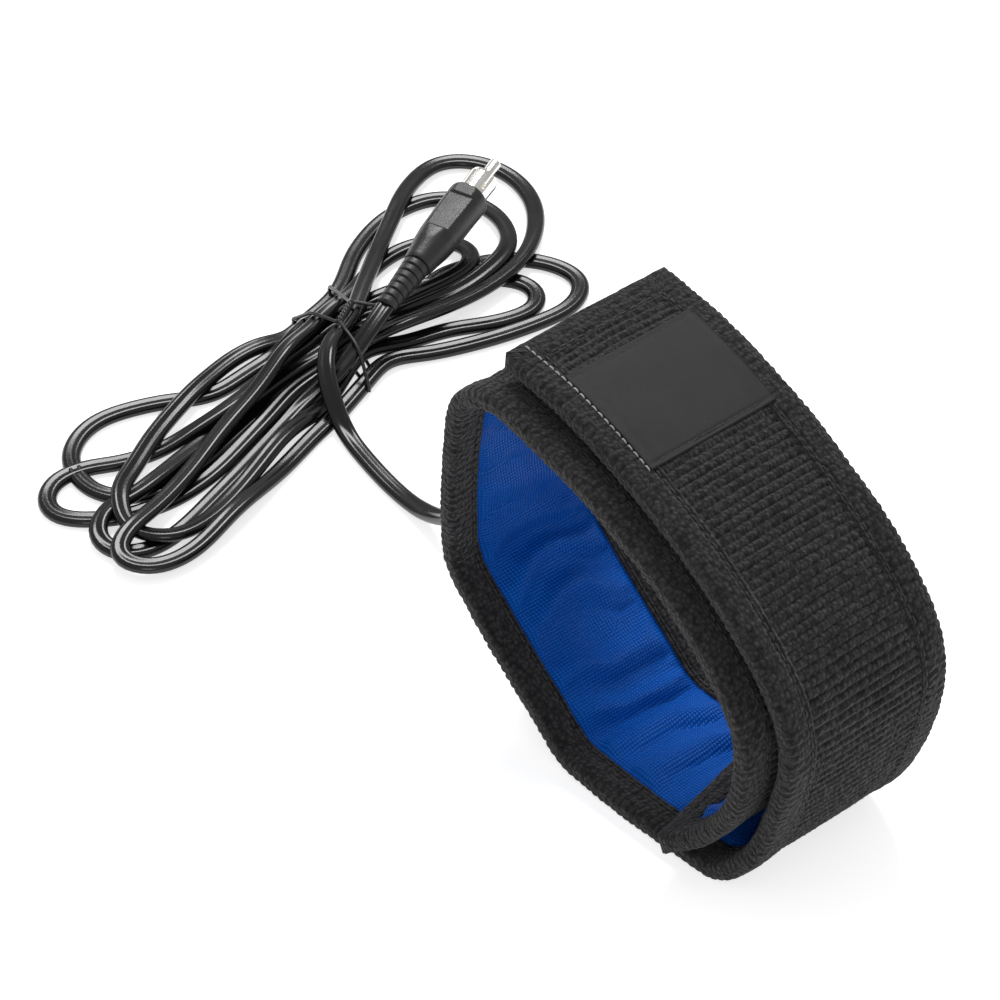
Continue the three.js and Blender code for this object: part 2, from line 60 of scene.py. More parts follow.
# Puts points and faces into a mesh; uv holds one pair for each corner of each face
def makeMesh(name, points, faceSets, uvSets=None, smooth=True):
    mesh = bpy.data.meshes.new(name)
    mesh.vertices.add(len(points))
    mesh.vertices.foreach_set("co", np.asarray(points, np.float32).ravel())
    corners = np.concatenate([f.ravel() for f in faceSets]).astype(np.int32)
    sizes = np.concatenate([np.full(len(f), f.shape[1]) for f in faceSets])
    mesh.loops.add(len(corners))
    mesh.loops.foreach_set("vertex_index", corners)
    mesh.polygons.add(len(sizes))
    starts = np.concatenate([[0], np.cumsum(sizes)[:-1]]).astype(np.int32)
    mesh.polygons.foreach_set("loop_start", starts)
    mesh.polygons.foreach_set("use_smooth", np.full(len(sizes), smooth))
    if uvSets is not None:
        layer = mesh.uv_layers.new(name="UVMap")
        uv = np.concatenate([u.reshape(-1, 2) for u in uvSets])
        layer.uv.foreach_set("vector", uv.astype(np.float32).ravel())
    mesh.update(calc_edges=True)
    mesh.validate()
    piece = bpy.data.objects.new(name, mesh)
    bpy.context.scene.collection.objects.link(piece)
    return piece


# A surface given by a grid of points (rows, columns, 3), in mm; u and v are the flat measures in
# metres of the grid lines, one more than the points in a closed direction
def makeSurface(name, points, u, v, closeRows=False, closeColumns=False, caps=False):
    rows, columns = points.shape[:2]
    quads, steps = gridFaces(rows, columns, closeRows, closeColumns)
    uv = np.stack([np.asarray(u)[steps[:, :, 0]], np.asarray(v)[steps[:, :, 1]]], -1)
    faceSets, uvSets = [quads], [uv]
    if caps:
        for ring, turn in ((0, 1), (rows - 1, -1)):
            face = (ring * columns + np.arange(columns))[::turn]
            faceSets.append(face[None, :])
            uvSets.append(np.full((1, columns, 2), u[ring]))
    return makeMesh(name, points.reshape(-1, 3) * mm, faceSets, uvSets)


def smoothStep(value, low, high):
    t = np.clip((np.asarray(value, float) - low) / (high - low), 0, 1)
    return t * t * (3 - 2 * t)


# Smooth lattice noise: random values at whole numbers, blended between them by a smooth step
def latticeNoise(x, y, seed, wrap=4096):
    table = np.random.default_rng(seed).uniform(-1, 1, wrap)
    x, y = np.broadcast_arrays(np.asarray(x, float), np.asarray(y, float))
    ix, iy = np.floor(x).astype(int), np.floor(y).astype(int)
    fx, fy = x - ix, y - iy
    fx, fy = fx * fx * (3 - 2 * fx), fy * fy * (3 - 2 * fy)
    def value(a, b):
        return table[(a * 157 + b * 1009 + a * b * 3) % wrap]
    low = value(ix, iy) * (1 - fx) + value(ix + 1, iy) * fx
    high = value(ix, iy + 1) * (1 - fx) + value(ix + 1, iy + 1) * fx
    return low * (1 - fy) + high * fy


# Camera at the photograph's angle

cameraValues = {
    "azimuth": 50,
    "elevation": 42,
    "distance": 1100,
    "target": (-44.61, -16.23, 59.85),
    "lens": 168.3,
}
azimuth = math.radians(cameraValues["azimuth"])
elevation = math.radians(cameraValues["elevation"])
lookBack = Vector((
    math.sin(azimuth) * math.cos(elevation),
    -math.cos(azimuth) * math.cos(elevation),
    math.sin(elevation),
))
camera = bpy.data.objects.new("camera", bpy.data.cameras.new("camera"))
camera.location = (Vector(cameraValues["target"]) + lookBack * cameraValues["distance"]) * mm
camera.rotation_euler = lookBack.to_track_quat("Z", "Y").to_euler()
camera.data.lens = cameraValues["lens"]
camera.data.sensor_width = 36
camera.data.clip_end = 20
bpy.context.scene.collection.objects.link(camera)
bpy.context.scene.camera = camera
print("camera placed")


# The line that the strip is wound along

stripValues = {
    "loopWidth": 117,
    "loopHeight": 108,
    "width": 50,
    "thickness": 5.35,
    "turnGap": 1.1,
    "patchProud": 1,
    "endSkew": 14,
    "lastStep": (-6.0, -0.8, -0.9),
}
outline = np.array([
    [-0.78, 1, 7], [-0.39, 0.98, 7], [0.055, 0.909, 7], [0.41, 0.821, 7], [0.7, 0.714, 7],
    [0.92, 0.583, 7], [0.99, 0.461, 6.6], [0.95, 0.276, 5.6], [0.84, 0.11, 4.4],
    [0.65, 0.004, 3], [0.48, 0, 2], [0.15, 0, 0.6], [-0.21, 0.004, 0], [-0.43, 0.085, 0],
    [-0.8, 0.24, 0], [-0.972, 0.335, 0], [-1, 0.461, 0], [-0.975, 0.7, 0], [-0.9, 0.86, 0],
])
secondTurn = np.array([
    [2.4, 0], [1.2, 0.2], [0.8, 0.6], [1.2, 1], [1.8, 1], [1.6, 0.6], [1.2, 0], [1.0, -0.8],
    [3.8, -2.4], [4.4, -4.6], [0.7, -6.6],
])


# A smooth curve through all the points, with knots spaced by the square root of their distances
def smoothCurve(points, each=60):
    points = np.asarray(points, float)
    ends = [2 * points[0] - points[1], 2 * points[-1] - points[-2]]
    p = np.concatenate([ends[:1], points, ends[1:]])
    p0, p1, p2, p3 = p[:-3, None], p[1:-2, None], p[2:-1, None], p[3:, None]
    d0 = np.sqrt(np.linalg.norm(p1 - p0, axis=-1, keepdims=True)) + 1e-6
    d1 = np.sqrt(np.linalg.norm(p2 - p1, axis=-1, keepdims=True)) + 1e-6
    d2 = np.sqrt(np.linalg.norm(p3 - p2, axis=-1, keepdims=True)) + 1e-6
    m1 = ((p1 - p0) / d0 - (p2 - p0) / (d0 + d1) + (p2 - p1) / d1) * d1
    m2 = ((p2 - p1) / d1 - (p3 - p1) / (d1 + d2) + (p3 - p2) / d2) * d1
    t = (np.arange(each) / each)[None, :, None]
    curve = (2 * t**3 - 3 * t**2 + 1) * p1 + (t**3 - 2 * t**2 + t) * m1
    curve = curve + (3 * t**2 - 2 * t**3) * p2 + (t**3 - t**2) * m2
    return np.concatenate([curve.reshape(-1, 3), points[-1:]])


def lengthsAlong(points):
    steps = np.linalg.norm(np.diff(points, axis=0), axis=1)
    return np.concatenate([[0], np.cumsum(steps)])


def evenly(points, spacing):
    at = lengthsAlong(points)
    count = max(2, round(at[-1] / spacing) + 1)
    wanted = np.linspace(0, at[-1], count)
    return np.stack([np.interp(wanted, at, points[:, k]) for k in range(3)], 1)


def windingLine(values):
    thick = values["thickness"]
    def spot(index):
        x, z, side = outline[index % len(outline)]
        return np.array([
            x * (values["loopWidth"] - thick) / 2, side,
            thick / 2 + z * (values["loopHeight"] - thick),
        ])
    points = [spot(i) for i in range(len(outline))]
    for i, (further, side) in enumerate(secondTurn):
        run = spot(i + 1) - spot(i - 1)
        inward = np.array([run[2], 0, -run[0]])
        inward /= np.linalg.norm(inward)
        point = spot(i) + inward * (thick + values["turnGap"] + further)
        points.append(np.array([point[0], side, point[2]]))
    points.append(points[-1] + np.array(values["lastStep"]))
    line = evenly(smoothCurve(points), 0.5)
    line[:, 2] = np.maximum(line[:, 2], thick / 2)
    return line


midLine = windingLine(stripValues)
midAt = lengthsAlong(midLine)
stripLength = midAt[-1]
reach = 5
padded = np.concatenate([
    midLine[0] - (midLine[reach] - midLine[0]) * np.arange(reach, 0, -1)[:, None] / reach,
    midLine,
    midLine[-1] + (midLine[-1] - midLine[-1 - reach]) * np.arange(1, reach + 1)[:, None] / reach,
])
alongLine = padded[2 * reach:] - padded[:-2 * reach]
alongLine /= np.linalg.norm(alongLine, axis=1, keepdims=True)
outLine = np.cross(alongLine, np.array([0, 1, 0]))
outLine /= np.linalg.norm(outLine, axis=1, keepdims=True)
halfWide = stripValues["width"] / 2
halfThick = stripValues["thickness"] / 2
footprint = np.concatenate([
    midLine + outLine * halfThick, midLine - outLine * halfThick,
])
low = footprint.min(axis=0) - np.array([stripValues["patchProud"], halfWide, 0])
high = footprint.max(axis=0) + np.array([0, halfWide, 0])
midLine[:, :2] -= ((low + high) / 2)[:2]


# A place on the wound strip, from its place on the flat strip: along it, across it, out of it.
# The middle line at that length, plus the width, plus the height times the way out of the loop.
def onStrip(s, y, h):
    s, y, h = np.broadcast_arrays(*(np.asarray(a, float) for a in (s, y, h)))
    ramp = smoothStep(s, stripLength - 42, stripLength - 6)
    s = s + y * math.tan(math.radians(stripValues["endSkew"])) * ramp
    centre = np.stack([np.interp(s, midAt, midLine[:, k]) for k in range(3)], -1)
    run = np.stack([np.interp(s, midAt, alongLine[:, k]) for k in range(3)], -1)
    out = np.stack([np.interp(s, midAt, outLine[:, k]) for k in range(3)], -1)
    beyond = np.maximum(s - stripLength, 0) + np.minimum(s, 0)
    centre = centre + run * beyond[..., None]
    edge = smoothStep(np.abs(y), 14, halfWide)
    wave = 0.35 * latticeNoise(s / 17, np.sign(y) * 3 + 11, 5) * edge
    point = centre + out * (h + wave)[..., None]
    point[..., 1] += y
    return point


print("winding line", round(stripLength, 1), "mm")


# The cord: one flat twin cord from the boot to the plug, folded into loops under a wire tie.
# Loops are drawn on the floor, then the whole cord settles under its weight.

cordValues = {
    "width": 5.0,
    "thick": 2.7,
    "spacing": 3.0,
    "clearance": 0.12,
    "tie": (-167.5, 29.5),
    "run": (-0.30, 0.954),
    "bundleReach": 8.0,
}
# Each pass through the tie: how far across the bundle, how high
passes = [
    (2.4, 9.9), (6.5, 5.3), (-4.3, 5.3), (-5.8, 8.1), (12.5, 2.45), (2.0, 2.45), (-9.6, 5.3),
    (7.2, 2.45), (-11.1, 8.1), (1.2, 5.3), (8.4, 8.2),
]
rightLoops = [
    {"level": 3, "at": [(-178, 48), (-189, 62), (-199, 76), (-208, 90), (-211, 101), (-206, 109),
                        (-195, 113), (-182, 110), (-171, 101), (-164, 90), (-161, 76), (-160, 60),
                        (-160, 46)]},
    {"level": 1, "at": [(-170, 46), (-167, 60), (-165, 72), (-169, 81), (-178, 82), (-186, 74),
                        (-187, 62), (-182, 48)]},
    {"level": 0, "at": [(-151, 50), (-146, 64), (-143, 78), (-142, 90), (-148, 99), (-158, 98),
                        (-167, 91), (-172, 78), (-172, 60), (-169, 46)]},
    {"level": 0, "at": [(-178, 44), (-176, 58), (-170, 72), (-163, 83), (-154, 87), (-147, 82),
                        (-149, 70), (-155, 58), (-158, 46)]},
    {"level": 2, "at": [(-184, 46), (-195, 60), (-202, 76), (-201, 90), (-192, 98), (-180, 98),
                        (-169, 91), (-165, 78), (-165, 62), (-165, 48)]},
]
leftLoops = [
    {"level": 2, "at": [(-158, 14, 5.2), (-153, -6), (-149, -26), (-150, -44), (-155, -57), (-163, -64),
                        (-171, -60), (-173, -50), (-167, -40), (-161, -22), (-163, 0), (-168, 14)]},
    {"level": 4, "at": [(-169, 16), (-164, 2), (-159, -14), (-152, -30), (-147, -44), (-144, -56),
                        (-139, -63), (-131, -59), (-129, -48), (-134, -30), (-142, -8, 5), (-148, 8, 1.6)]},
    {"level": 0, "at": [(-163, 14), (-161, -6), (-157, -24), (-153, -40), (-158, -51), (-168, -53),
                        (-178, -48), (-184, -36), (-180, -18), (-174, -6), (-175, 6), (-176, 16)]},
    {"level": 3, "at": [(-154, 14, 3), (-148, -4), (-141, -22), (-136, -38), (-136, -49), (-144, -55),
                        (-153, -51), (-160, -40), (-168, -26), (-175, -8), (-179, 8), (-178, 18)]},
    {"level": 1, "at": [(-166, 14), (-163, -6), (-157, -24), (-153, -40), (-153, -53), (-147, -61),
                        (-138, -59), (-135, -48), (-141, -28), (-149, -8), (-156, 12, 4.6)]},
]
leadRoute = [(-118, 7.6), (-129, 9.0)]
leadRise = [(-138.5, 10.7, 1.6), (-145.3, 12.4, 4.4), (-151, 14.6, 8.2), (-156.8, 18.0, 10.6),
            (-160.9, 22.8, 11.2)]
entry = {"along": 276.6, "across": 3, "bootMouth": 16}


# Ways along and across the bundle, and a place in it
tieRun = np.array(cordValues["run"]) / np.hypot(*cordValues["run"])
tieSide = np.array([tieRun[1], -tieRun[0]])


def tiePlace(across, high, along):
    spot = np.array(cordValues["tie"]) + tieRun * along + tieSide * across
    return [spot[0], spot[1], high]


def drawnCord():
    start = onStrip(entry["along"], entry["across"], halfThick)
    out = onStrip(entry["along"], entry["across"], halfThick + 1) - start
    mouth = start + out * entry["bootMouth"]
    inside = start + out * (entry["bootMouth"] - 9)
    points = [inside, inside + out * 4.5, mouth, mouth + out * 5]
    points += [[-86.0, 4.6, 13.4], [-96.5, 5.9, 6.4], [-106.5, 6.9, 2.4]]
    points += [[x, y, 1.35] for x, y in leadRoute]
    points += [list(place) for place in leadRise]
    reach = cordValues["bundleReach"]
    points += [tiePlace(*passes[0], -reach / 2), tiePlace(*passes[0], reach / 2)]
    for turn in range(5):
        level = rightLoops[turn]["level"]
        points += [[*place, 1.4 + 2.8 * level][:3] for place in rightLoops[turn]["at"]]
        slot = passes[2 * turn + 1]
        points += [tiePlace(*slot, reach / 2), tiePlace(*slot, -reach / 2)]
        level = leftLoops[turn]["level"]
        points += [[*place, 1.4 + 2.8 * level][:3] for place in leftLoops[turn]["at"]]
        slot = passes[2 * turn + 2]
        points += [tiePlace(*slot, -reach / 2), tiePlace(*slot, reach / 2)]
    tail = np.array([-162.5, 43.6, 12.4])
    run = np.array([-21.4, 56.3, 7.6]) / np.linalg.norm([-21.4, 56.3, 7.6])
    points[-1] = list(tail - run * 7 + np.array([0, 0, -0.7]))
    points += [tail - run * 2, tail + run * 3]
    return evenly(smoothCurve(points, 24), cordValues["spacing"])


# Settling: every round each point falls a little and is pushed off what it would enter, and
# the moves are evened along the cord, so it keeps its drawn curves and its length.
# Contacts are tested with heights stretched, so that a flat section counts as a round one.
def settleCord(line, rounds=500):
    wide = cordValues["width"] + cordValues["clearance"]
    stretch = cordValues["width"] / cordValues["thick"]
    scale = np.array([1, 1, stretch])
    home = line.copy()
    count = len(home)
    moved = np.zeros_like(home)
    tie = np.array(cordValues["tie"])
    fromTie = np.hypot(home[:, 0] - tie[0], home[:, 1] - tie[1])
    order = np.arange(count)
    fixed = (order < 10) | (order >= count - 5)
    pinned = fixed | (fromTie < cordValues["bundleReach"])
    apart = np.triu(np.abs(order[:, None] - order[None, :]) > 4)
    for step in range(rounds):
        soft = step < rounds - 60
        moved[:, 2] -= np.where(pinned, 0, 0.06 if soft else 0.0)
        moved[:, :2] *= 0.995
        moved[pinned] *= 0.5
        kernel = moved.copy()
        for reachOf in (1, 2, 3):
            kernel[reachOf:-reachOf] += moved[:-2 * reachOf] + moved[2 * reachOf:]
        kernel[3:-3] /= 7
        even = 0.5 if soft else 0.12
        moved[3:-3] += (kernel[3:-3] - moved[3:-3]) * even
        if step % 6 == 0:
            q = (home + moved) * scale
            near = ((q[:, None, :] - q[None, :, :]) ** 2).sum(-1) < (wide + 3) ** 2
            a, b = np.nonzero(apart & near)
        for again in range(3):
            point = home + moved
            q = (point[b] - point[a]) * scale
            size = np.linalg.norm(q, axis=1)
            deep = np.maximum(wide - size, 0)
            push = q / np.maximum(size, 0.05)[:, None] * (deep * 0.28)[:, None] / scale
            np.add.at(moved, a, -push)
            np.add.at(moved, b, push)
            low = cordValues["thick"] / 2 - (home[:, 2] + moved[:, 2])
            moved[:, 2] += np.maximum(low, 0)
        moved[fixed] = 0
    point = home + moved
    q = point * scale
    a, b = np.nonzero(apart)
    closest = np.sqrt(((q[a] - q[b]) ** 2).sum(-1))
    print("cord closest approach", round(float(closest.min()), 2), "of", wide)
    return point


def roundOff(points, times):
    points = points.copy()
    for _ in range(times):
        points[1:-1] = points[1:-1] * 0.5 + (points[:-2] + points[2:]) * 0.25
    return points


# Twin cord section: two round cores side by side, joined by a narrower web, as one outline
def twinOutline(each=12):
    radius = cordValues["thick"] / 2
    offset = cordValues["width"] / 2 - radius
    start = math.radians(-122)
    angle = np.linspace(start, -start, each)
    right = np.stack([offset + radius * np.cos(angle), radius * np.sin(angle)], 1)
    return np.concatenate([right, -right])


# A section carried along a path: at each point the section lies across the way the path runs,
# with its wide side level, turned by the roll
def sweep(name, path, section, roll=0.0, grow=None):
    run = np.gradient(path, axis=0)
    run /= np.linalg.norm(run, axis=1, keepdims=True)
    side = np.cross(run, np.array([0, 0, 1.0]))
    weak = np.linalg.norm(side, axis=1, keepdims=True)
    side /= np.maximum(weak, 1e-6)
    up = np.cross(side, run)
    roll = np.broadcast_to(np.asarray(roll, float), len(path))
    c, s = np.cos(roll)[:, None], np.sin(roll)[:, None]
    side, up = side * c + up * s, up * c - side * s
    size = np.ones(len(path)) if grow is None else grow
    rings = path[:, None] + side[:, None] * (section[:, 0] * size[:, None])[..., None]
    rings = rings + up[:, None] * (section[:, 1] * size[:, None])[..., None]
    u = lengthsAlong(path) * mm
    around = lengthsAlong(np.c_[np.r_[section, section[:1]], np.zeros(len(section) + 1)]) * mm
    return makeSurface(name, rings, u, around, closeColumns=True, caps=True)


def makeCord():
    settled = settleCord(drawnCord())
    path = evenly(smoothCurve(roundOff(settled, 3), 4), 1.6)
    path[:, 2] = np.maximum(path[:, 2], cordValues["thick"] / 2)
    at = lengthsAlong(path)
    roll = 0.35 * np.sin(at / 61.0) * smoothStep(path[:, 2], 1.3, 3.5)
    cordPiece = sweep("twinCord", path, twinOutline(), roll)
    return cordPiece, path, at[-1]


cordPiece, cordPath, cordLength = makeCord()
print("cord settled", round(cordLength), "mm")


# Shared effects for the finishes, as node groups. Patterns are in millimetres.

def addNode(tree, kind, settings=None, inputs=None):
    node = tree.nodes.new(kind)
    for key, value in (settings or {}).items():
        setattr(node, key, value)
    for key, value in (inputs or {}).items():
        if isinstance(value, bpy.types.NodeSocket):
            tree.links.new(value, node.inputs[key])
        else:
            node.inputs[key].default_value = value
    return node


def newGroup(name, inputs, outputs):
    tree = bpy.data.node_groups.new(name, "ShaderNodeTree")
    for label, kind, value in inputs:
        made = tree.interface.new_socket(name=label, in_out="INPUT", socket_type=kind)
        if value is not None:
            made.default_value = value
    for label, kind in outputs:
        tree.interface.new_socket(name=label, in_out="OUTPUT", socket_type=kind)
    start = tree.nodes.new("NodeGroupInput")
    end = tree.nodes.new("NodeGroupOutput")
    return tree, start.outputs, end.inputs


# Pile: rounded loops of yarn from a cell pattern, broken up by finer noise. Shade is their height spread
# over 0 to 1, used for painted shade in the hollows between loops.
def makePile():
    tree, given, out = newGroup(
        "pile",
        [("Vector", "NodeSocketVector", None), ("Loops per mm", "NodeSocketFloat", 0.6),
         ("Roughen", "NodeSocketFloat", 0.5)],
        [("Height", "NodeSocketFloat"), ("Shade", "NodeSocketFloat")],
    )
    cells = addNode(tree, "ShaderNodeTexVoronoi", {"feature": "SMOOTH_F1"},
                    {"Vector": given["Vector"], "Scale": given["Loops per mm"],
                     "Smoothness": 0.35, "Randomness": 0.75})
    fine = addNode(tree, "ShaderNodeTexNoise", None,
                   {"Vector": given["Vector"], "Scale": 2.6, "Detail": 4.0, "Roughness": 0.65})
    dome = addNode(tree, "ShaderNodeMapRange", None,
                   {"Value": cells.outputs["Distance"], "From Min": 0.0, "From Max": 0.75,
                    "To Min": 1.0, "To Max": 0.0})
    fuzz = addNode(tree, "ShaderNodeMath", {"operation": "MULTIPLY"},
                   {0: fine.outputs["Fac"], 1: given["Roughen"]})
    total = addNode(tree, "ShaderNodeMath", {"operation": "ADD"},
                    {0: dome.outputs["Result"], 1: fuzz.outputs[0]})
    shade = addNode(tree, "ShaderNodeMapRange", None,
                    {"Value": total.outputs[0], "From Min": 0.3, "From Max": 1.3})
    tree.links.new(total.outputs[0], out["Height"])
    tree.links.new(shade.outputs["Result"], out["Shade"])
    return tree


# Weave: two crossed waves, one for each set of threads, raised where they pass over
def makeWeave():
    tree, given, out = newGroup(
        "weave",
        [("Vector", "NodeSocketVector", None), ("Thread", "NodeSocketFloat", 0.6)],
        [("Height", "NodeSocketFloat"), ("Shade", "NodeSocketFloat")],
    )
    split = addNode(tree, "ShaderNodeSeparateXYZ", None, {0: given["Vector"]})
    rate = addNode(tree, "ShaderNodeMath", {"operation": "DIVIDE"},
                   {0: math.pi, 1: given["Thread"]})
    waves = []
    for axis in ("X", "Y"):
        turn = addNode(tree, "ShaderNodeMath", {"operation": "MULTIPLY"},
                       {0: split.outputs[axis], 1: rate.outputs[0]})
        wave = addNode(tree, "ShaderNodeMath", {"operation": "SINE"}, {0: turn.outputs[0]})
        waves.append(wave.outputs[0])
    cross = addNode(tree, "ShaderNodeMath", {"operation": "MULTIPLY"}, {0: waves[0], 1: waves[1]})
    height = addNode(tree, "ShaderNodeMath", {"operation": "ABSOLUTE"}, {0: cross.outputs[0]})
    over = addNode(tree, "ShaderNodeMapRange", None,
                   {"Value": cross.outputs[0], "From Min": -1.0, "From Max": 1.0})
    tree.links.new(height.outputs[0], out["Height"])
    tree.links.new(over.outputs["Result"], out["Shade"])
    return tree


# Mottle: slow change of tone over a surface
def makeMottle():
    tree, given, out = newGroup(
        "mottle",
        [("Vector", "NodeSocketVector", None), ("Per mm", "NodeSocketFloat", 0.05),
         ("Low", "NodeSocketColor", (0, 0, 0, 1)), ("High", "NodeSocketColor", (1, 1, 1, 1))],
        [("Color", "NodeSocketColor"), ("Mask", "NodeSocketFloat")],
    )
    cloud = addNode(tree, "ShaderNodeTexNoise", None,
                    {"Vector": given["Vector"], "Scale": given["Per mm"], "Detail": 3.0})
    spread = addNode(tree, "ShaderNodeMapRange", None,
                     {"Value": cloud.outputs["Fac"], "From Min": 0.3, "From Max": 0.7})
    mix = addNode(tree, "ShaderNodeMix", {"data_type": "RGBA"},
                  {0: spread.outputs["Result"], 6: given["Low"], 7: given["High"]})
    tree.links.new(mix.outputs[2], out["Color"])
    tree.links.new(spread.outputs["Result"], out["Mask"])
    return tree


groups = {"pile": makePile(), "weave": makeWeave(), "mottle": makeMottle()}


def placeGroup(tree, name, inputs):
    return addNode(tree, "ShaderNodeGroup", {"node_tree": groups[name]}, inputs).outputs


# A material with its Principled shader and its place in mm, from the flat map or the object
def newMaterial(name, flat=True, sockets=None):
    material = bpy.data.materials.new(name)
    material.use_nodes = True
    tree = material.node_tree
    tree.nodes.clear()
    shader = addNode(tree, "ShaderNodeBsdfPrincipled", None, sockets)
    addNode(tree, "ShaderNodeOutputMaterial", None, {"Surface": shader.outputs["BSDF"]})
    where = addNode(tree, "ShaderNodeTexCoord")
    source = where.outputs["UV" if flat else "Object"]
    inMm = addNode(tree, "ShaderNodeVectorMath", {"operation": "SCALE"},
                   {0: source, "Scale": 1000.0})
    return material, tree, shader, inMm.outputs[0]


def bumpFrom(tree, height, distance, strength=1.0, under=None):
    inputs = {"Height": height, "Distance": distance, "Strength": strength}
    if under is not None:
        inputs["Normal"] = under
    return addNode(tree, "ShaderNodeBump", None, inputs).outputs["Normal"]


def mixColors(tree, share, low, high):
    return addNode(tree, "ShaderNodeMix", {"data_type": "RGBA"},
                   {0: share, 6: low, 7: high}).outputs[2]


# Black pile fabric: webbing and binding. The low colour is painted shade in the pile's hollows, mixed
# toward the mottled tone where the loops stand high.
def makePileFabric(name, low, high, loops, depth, sheen):
    material, tree, shader, place = newMaterial(name, True, {
        "Roughness": 0.9, "Sheen Weight": sheen, "Sheen Roughness": 0.45,
        "Sheen Tint": (0.75, 0.74, 0.74, 1), "Specular IOR Level": 0.25,
    })
    pile = placeGroup(tree, "pile", {"Vector": place, "Loops per mm": loops, "Roughen": 0.7})
    tone = placeGroup(tree, "mottle", {"Vector": place, "Per mm": 0.06,
                                       "Low": (*[c * 0.86 for c in high], 1),
                                       "High": (*[c * 1.12 for c in high], 1)})
    # painted shade: the darker low colour where the pile is low
    color = mixColors(tree, pile["Shade"], (*low, 1), tone["Color"])
    tree.links.new(color, shader.inputs["Base Color"])
    normal = bumpFrom(tree, pile["Height"], depth * mm)
    tree.links.new(normal, shader.inputs["Normal"])
    return material


finishes = {}
# The first colour of each is painted shade for the pile's hollows; the second is the lit tone
finishes["webbing"] = makePileFabric(
    "ribbedWebbing", (0.003, 0.003, 0.003), (0.050, 0.047, 0.048), 0.95, 0.5, 0.22)
finishes["binding"] = makePileFabric(
    "knittedBinding", (0.003, 0.003, 0.003), (0.047, 0.044, 0.045), 0.9, 0.5, 0.22)


# Woven cloth: bright blue nylon for the lining and a charcoal satin tape for the label. Each is a close
# weave over a slow change of tone. The lining is darker where its threads dip, as painted shade; the label
# is darker on alternate cells of its weave, as a pattern.
wovenValues = {
    "lining": {
        "name": "blueNylon", "thread": 0.8, "perMm": 0.07, "darkBy": "Height", "depth": 0.2,
        # dark: painted shade where the weave's threads dip
        "low": (0.001, 0.105, 0.50), "high": (0.002, 0.150, 0.66), "dark": (0.0008, 0.046, 0.29),
        "sockets": {"Roughness": 0.42, "Specular IOR Level": 0.3,
                    "Specular Tint": (0.25, 0.5, 1, 1)},
    },
    "label": {
        "name": "charcoalSatin", "thread": 0.32, "perMm": 0.09, "darkBy": "Shade", "depth": 0.05,
        "low": (0.009, 0.009, 0.010), "high": (0.015, 0.015, 0.016),
        "dark": (0.006, 0.006, 0.0065),
        "sockets": {"Roughness": 0.5, "Specular IOR Level": 0.3, "Sheen Weight": 0.05,
                    "Sheen Roughness": 0.3},
    },
}


def makeWoven(v):
    material, tree, shader, place = newMaterial(v["name"], True, v["sockets"])
    weave = placeGroup(tree, "weave", {"Vector": place, "Thread": v["thread"]})
    tone = placeGroup(tree, "mottle", {"Vector": place, "Per mm": v["perMm"],
                                       "Low": (*v["low"], 1), "High": (*v["high"], 1)})
    # The lining takes the dark colour where its weave dips, as painted shade; the label takes it on
    # alternate cells of its weave, as a pattern
    color = mixColors(tree, weave[v["darkBy"]], (*v["dark"], 1), tone["Color"])
    tree.links.new(color, shader.inputs["Base Color"])
    normal = bumpFrom(tree, weave["Height"], v["depth"] * mm)
    tree.links.new(normal, shader.inputs["Normal"])
    return material


for finish, values in wovenValues.items():
    finishes[finish] = makeWoven(values)


# Smooth plastics and metals: a base tone, a fine grain and slightly uneven gloss
def makeHardFinish(name, low, high, rough, grain, flat=False, sockets=None):
    material, tree, shader, place = newMaterial(name, flat, sockets)
    tone = placeGroup(tree, "mottle", {"Vector": place, "Per mm": 0.12,
                                       "Low": (*low, 1), "High": (*high, 1)})
    tree.links.new(tone["Color"], shader.inputs["Base Color"])
    uneven = addNode(tree, "ShaderNodeMapRange", None,
                     {"Value": tone["Mask"], "To Min": rough * 0.85, "To Max": rough * 1.2})
    tree.links.new(uneven.outputs["Result"], shader.inputs["Roughness"])
    noise = addNode(tree, "ShaderNodeTexNoise", None,
                    {"Vector": place, "Scale": 1.6, "Detail": 5.0})
    normal = bumpFrom(tree, noise.outputs["Fac"], grain * mm)
    tree.links.new(normal, shader.inputs["Normal"])
    return material


# Name, darker and lighter tone, roughness, grain in mm, pattern on the flat map, other sockets
hardFinishes = {
    "cord": ("glossyBlackPvc", (0.003, 0.003, 0.0035), (0.006, 0.006, 0.0065), 0.2, 0.012, True,
             {"Specular IOR Level": 0.42}),
    "moulded": ("satinBlackMoulding", (0.012, 0.012, 0.013), (0.02, 0.02, 0.021), 0.42, 0.09,
                False, {"Specular IOR Level": 0.45}),
    "tie": ("coatedWire", (0.012, 0.012, 0.012), (0.02, 0.02, 0.02), 0.35, 0.04, True),
    "nickel": ("brightNickel", (0.80, 0.78, 0.74), (0.88, 0.86, 0.82), 0.16, 0.006, False,
               {"Metallic": 1.0}),
    "insulator": ("blackInsulator", (0.02, 0.02, 0.02), (0.03, 0.03, 0.03), 0.5, 0.03),
    "wire": ("resistanceWire", (0.45, 0.43, 0.40), (0.6, 0.58, 0.55), 0.3, 0.01, False,
             {"Metallic": 1.0}),
    "core": ("redCore", (0.35, 0.03, 0.03), (0.45, 0.05, 0.04), 0.4, 0.02),
    "hook": ("hookTape", (0.02, 0.02, 0.02), (0.04, 0.04, 0.04), 0.6, 0.5),
    "foam": ("greyFoam", (0.09, 0.09, 0.09), (0.14, 0.14, 0.14), 0.95, 0.3),
    "thread": ("greyThread", (0.30, 0.29, 0.28), (0.42, 0.41, 0.40), 0.7, 0.05),
    "blackThread": ("blackThread", (0.012, 0.012, 0.012), (0.03, 0.03, 0.03), 0.6, 0.05),
}
for finish, values in hardFinishes.items():
    finishes[finish] = makeHardFinish(*values)
print("finishes made")


